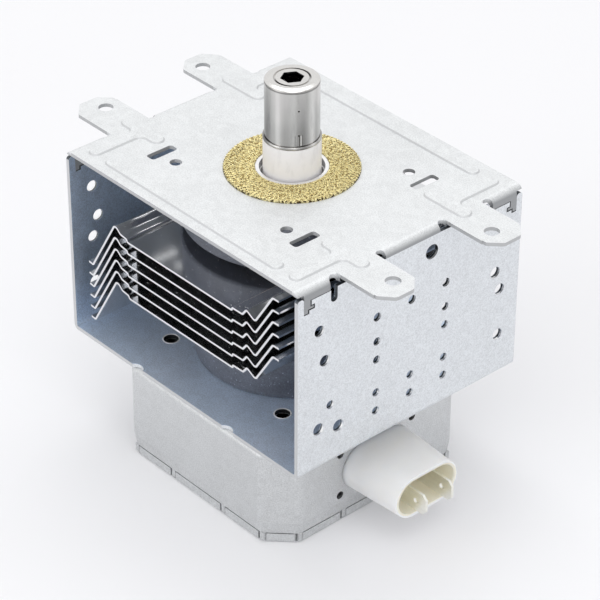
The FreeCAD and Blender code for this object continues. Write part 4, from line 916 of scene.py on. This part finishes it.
class MAGNETRON_OT_gasket(bpy.types.Operator):
    """Knit the gasket from strands of brass wire"""

    bl_idname = "magnetron.gasket"
    bl_label = "Mesh gasket"

    def execute(self, context):
        gasket = context.scene.magnetron_gasket
        finish_node("mesh_gasket", knit_shadow(gasket))
        _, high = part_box("mesh_gasket")
        outer = high.x - KNIT_EDGE
        pick = random.Random(KNIT_SEED)
        corners = []
        faces = []
        for row in range(gasket.rows):
            radius = KNIT_IN_R + (outer - KNIT_IN_R) * row / (gasket.rows - 1)
            points = self.strand_points(gasket.loops, radius, high.z, pick)
            closed_strand(points, gasket.wire / 2.0, corners, faces)
        add_mesh("gasket_knit", corners, faces, brass_wire(gasket))
        return {"FINISHED"}

    def strand_points(self, loops, radius, top, pick):
        """One wavy strand round the ring, pushed about a little at random."""
        start = pick.uniform(0.0, 2.0 * math.pi)
        points = []
        steps = loops * STEPS_PER_LOOP
        for step in range(steps):
            angle = 2.0 * math.pi * step / steps
            phase = loops * angle + start
            reach = radius + KNIT_WAVE * math.sin(phase) + pick.uniform(-KNIT_STRAY, KNIT_STRAY)
            height = top + KNIT_LIFT + KNIT_WAVE_H * math.cos(2.0 * phase)
            height += pick.uniform(-KNIT_STRAY_H, KNIT_STRAY_H)
            turn = angle + KNIT_SWAY * math.sin(2.0 * phase) / loops
            points.append(Vector((reach * math.cos(turn), reach * math.sin(turn), height)))
        return points


class MAGNETRON_OT_connector(bpy.types.Operator):
    """Finish the connector's shroud and blades"""

    bl_idname = "magnetron.connector"
    bl_label = "Connector"

    def execute(self, context):
        connector = context.scene.magnetron_connector
        finish_node("connector_housing", moulded_shroud(connector))
        tin = plain_metal("tinned_blade", connector.blade, 0.30, (0.2, 1.0, 1.0), 1200.0)
        finish_node("blade_front", tin)
        finish_node("blade_back", tin)
        return {"FINISHED"}


class MAGNETRON_OT_stage(bpy.types.Operator):
    """Set up the pale floor, soft lights, surroundings and camera"""

    bl_idname = "magnetron.stage"
    bl_label = "Stage"

    def execute(self, context):
        stage = context.scene.magnetron_stage
        low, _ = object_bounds()
        self.add_floor(stage, low.z)
        for name, spot, size, power in LAMPS:
            self.add_lamp(name, spot, size, getattr(stage, power))
        self.set_surroundings(context, stage)
        self.add_camera(context, stage)
        context.scene.view_settings.view_transform = "Standard"
        return {"FINISHED"}

    def add_floor(self, stage, height):
        """Wide pale floor under the object."""
        mesh = bpy.data.meshes.new("floor")
        spots = [(FLOOR_HALF * x, FLOOR_HALF * y, height) for x, y in ((-1, -1), (1, -1), (1, 1), (-1, 1))]
        mesh.from_pydata(spots, [], [(0, 1, 2, 3)])
        mesh.materials.append(self.floor_finish(stage))
        floor = bpy.data.objects.new("floor", mesh)
        bpy.context.scene.collection.objects.link(floor)
        floor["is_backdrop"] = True

    def floor_finish(self, stage):
        """Matt and pale, with a little glow that only the camera and reflections see."""
        material, tree, surface = start_material("pale_floor", roughness=0.9, specular=0.1)
        faint = clouds(tree, place_coords(tree), 9.0, 2.0, 0.5)
        tone = blend_colours(tree, faint, shade(stage.floor_colour, 0.985), stage.floor_colour)
        tree.links.new(tone, surface.inputs["Base Color"])
        glow = tree.nodes.new("ShaderNodeEmission")
        glow.inputs["Color"].default_value = FLOOR_GLOW
        mixer = tree.nodes.new("ShaderNodeMixShader")
        tree.links.new(times(tree, seen_rays(tree), FLOOR_GLOW_SHARE), mixer.inputs["Fac"])
        tree.links.new(surface.outputs["BSDF"], mixer.inputs[1])
        tree.links.new(glow.outputs["Emission"], mixer.inputs[2])
        tree.links.new(mixer.outputs["Shader"], tree.nodes["Material Output"].inputs["Surface"])
        return material

    def add_lamp(self, name, spot, size, power):
        """Square soft lamp that looks at the object."""
        data = bpy.data.lights.new(name, "AREA")
        data.shape = "SQUARE"
        data.size = size
        data.energy = power
        lamp = bpy.data.objects.new(name, data)
        lamp.location = spot
        aim = Vector(LAMP_AIM) - Vector(spot)
        lamp.rotation_mode = "QUATERNION"
        lamp.rotation_quaternion = aim.to_track_quat("-Z", "Y")
        bpy.context.scene.collection.objects.link(lamp)

    def set_surroundings(self, context, stage):
        """Plain surroundings: even light, seen as white by the camera and in reflections."""
        world = bpy.data.worlds.new("studio")
        world.use_nodes = True
        tree = world.node_tree
        back = tree.nodes["Background"]
        back.inputs["Color"].default_value = (1.0, 1.0, 1.0, 1.0)
        tree.links.new(spread(tree, seen_rays(tree), stage.sky, SEEN_SKY), back.inputs["Strength"])
        context.scene.world = world

    def add_camera(self, context, stage):
        """Camera at the photograph's angle."""
        turn, tilt = stage.azimuth, stage.elevation
        back = Vector((math.sin(turn) * math.cos(tilt), -math.cos(turn) * math.cos(tilt), math.sin(tilt)))
        data = bpy.data.cameras.new("camera")
        data.sensor_width = 36.0
        data.lens = stage.lens
        data.clip_start = 0.01
        data.clip_end = 20.0
        camera = bpy.data.objects.new("camera", data)
        look = (-back).to_track_quat("-Z", "Y").to_matrix().to_4x4()
        place = Matrix.Translation(Vector(stage.target) + back * stage.distance)
        camera.matrix_world = place @ look @ Matrix.Rotation(stage.roll, 4, "Z")
        context.scene.collection.objects.link(camera)
        context.scene.camera = camera


class MAGNETRON_PT_panel(bpy.types.Panel):
    """Lists the magnetron's operators and settings"""

    bl_label = "Magnetron"
    bl_idname = "MAGNETRON_PT_panel"
    bl_space_type = "VIEW_3D"
    bl_region_type = "UI"
    bl_category = "Magnetron"

    def draw(self, context):
        layout = self.layout
        for operator in OPERATORS:
            layout.operator(operator.bl_idname)
        for name, group in SETTINGS:
            box = layout.box()
            box.label(text=group.__doc__)
            settings = getattr(context.scene, name)
            for key in group.__annotations__:
                box.prop(settings, key)


SETTINGS = (
    ("magnetron_sheet", SheetSettings),
    ("magnetron_fins", FinSettings),
    ("magnetron_core", CoreSettings),
    ("magnetron_antenna", AntennaSettings),
    ("magnetron_gasket", GasketSettings),
    ("magnetron_connector", ConnectorSettings),
    ("magnetron_stage", StageSettings),
)

OPERATORS = (
    MAGNETRON_OT_sheet_steel,
    MAGNETRON_OT_vent_rims,
    MAGNETRON_OT_fins,
    MAGNETRON_OT_core,
    MAGNETRON_OT_antenna,
    MAGNETRON_OT_gasket,
    MAGNETRON_OT_connector,
    MAGNETRON_OT_stage,
)


def register():
    """Registers the settings, operators and panel."""
    for name, group in SETTINGS:
        bpy.utils.register_class(group)
        setattr(bpy.types.Scene, name, bpy.props.PointerProperty(type=group))
    for operator in OPERATORS:
        bpy.utils.register_class(operator)
    bpy.utils.register_class(MAGNETRON_PT_panel)


def unregister():
    """Takes the panel, operators and settings away again."""
    bpy.utils.unregister_class(MAGNETRON_PT_panel)
    for operator in reversed(OPERATORS):
        bpy.utils.unregister_class(operator)
    for name, group in reversed(SETTINGS):
        delattr(bpy.types.Scene, name)
        bpy.utils.unregister_class(group)


def main():
    """Dresses the frame and sets the stage."""
    register()
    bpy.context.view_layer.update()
    bpy.ops.magnetron.sheet_steel()
    bpy.ops.magnetron.vent_rims()
    bpy.ops.magnetron.fins()
    bpy.ops.magnetron.core()
    bpy.ops.magnetron.antenna()
    bpy.ops.magnetron.gasket()
    bpy.ops.magnetron.connector()
    bpy.ops.magnetron.stage()


if __name__ == "__main__":
    main()
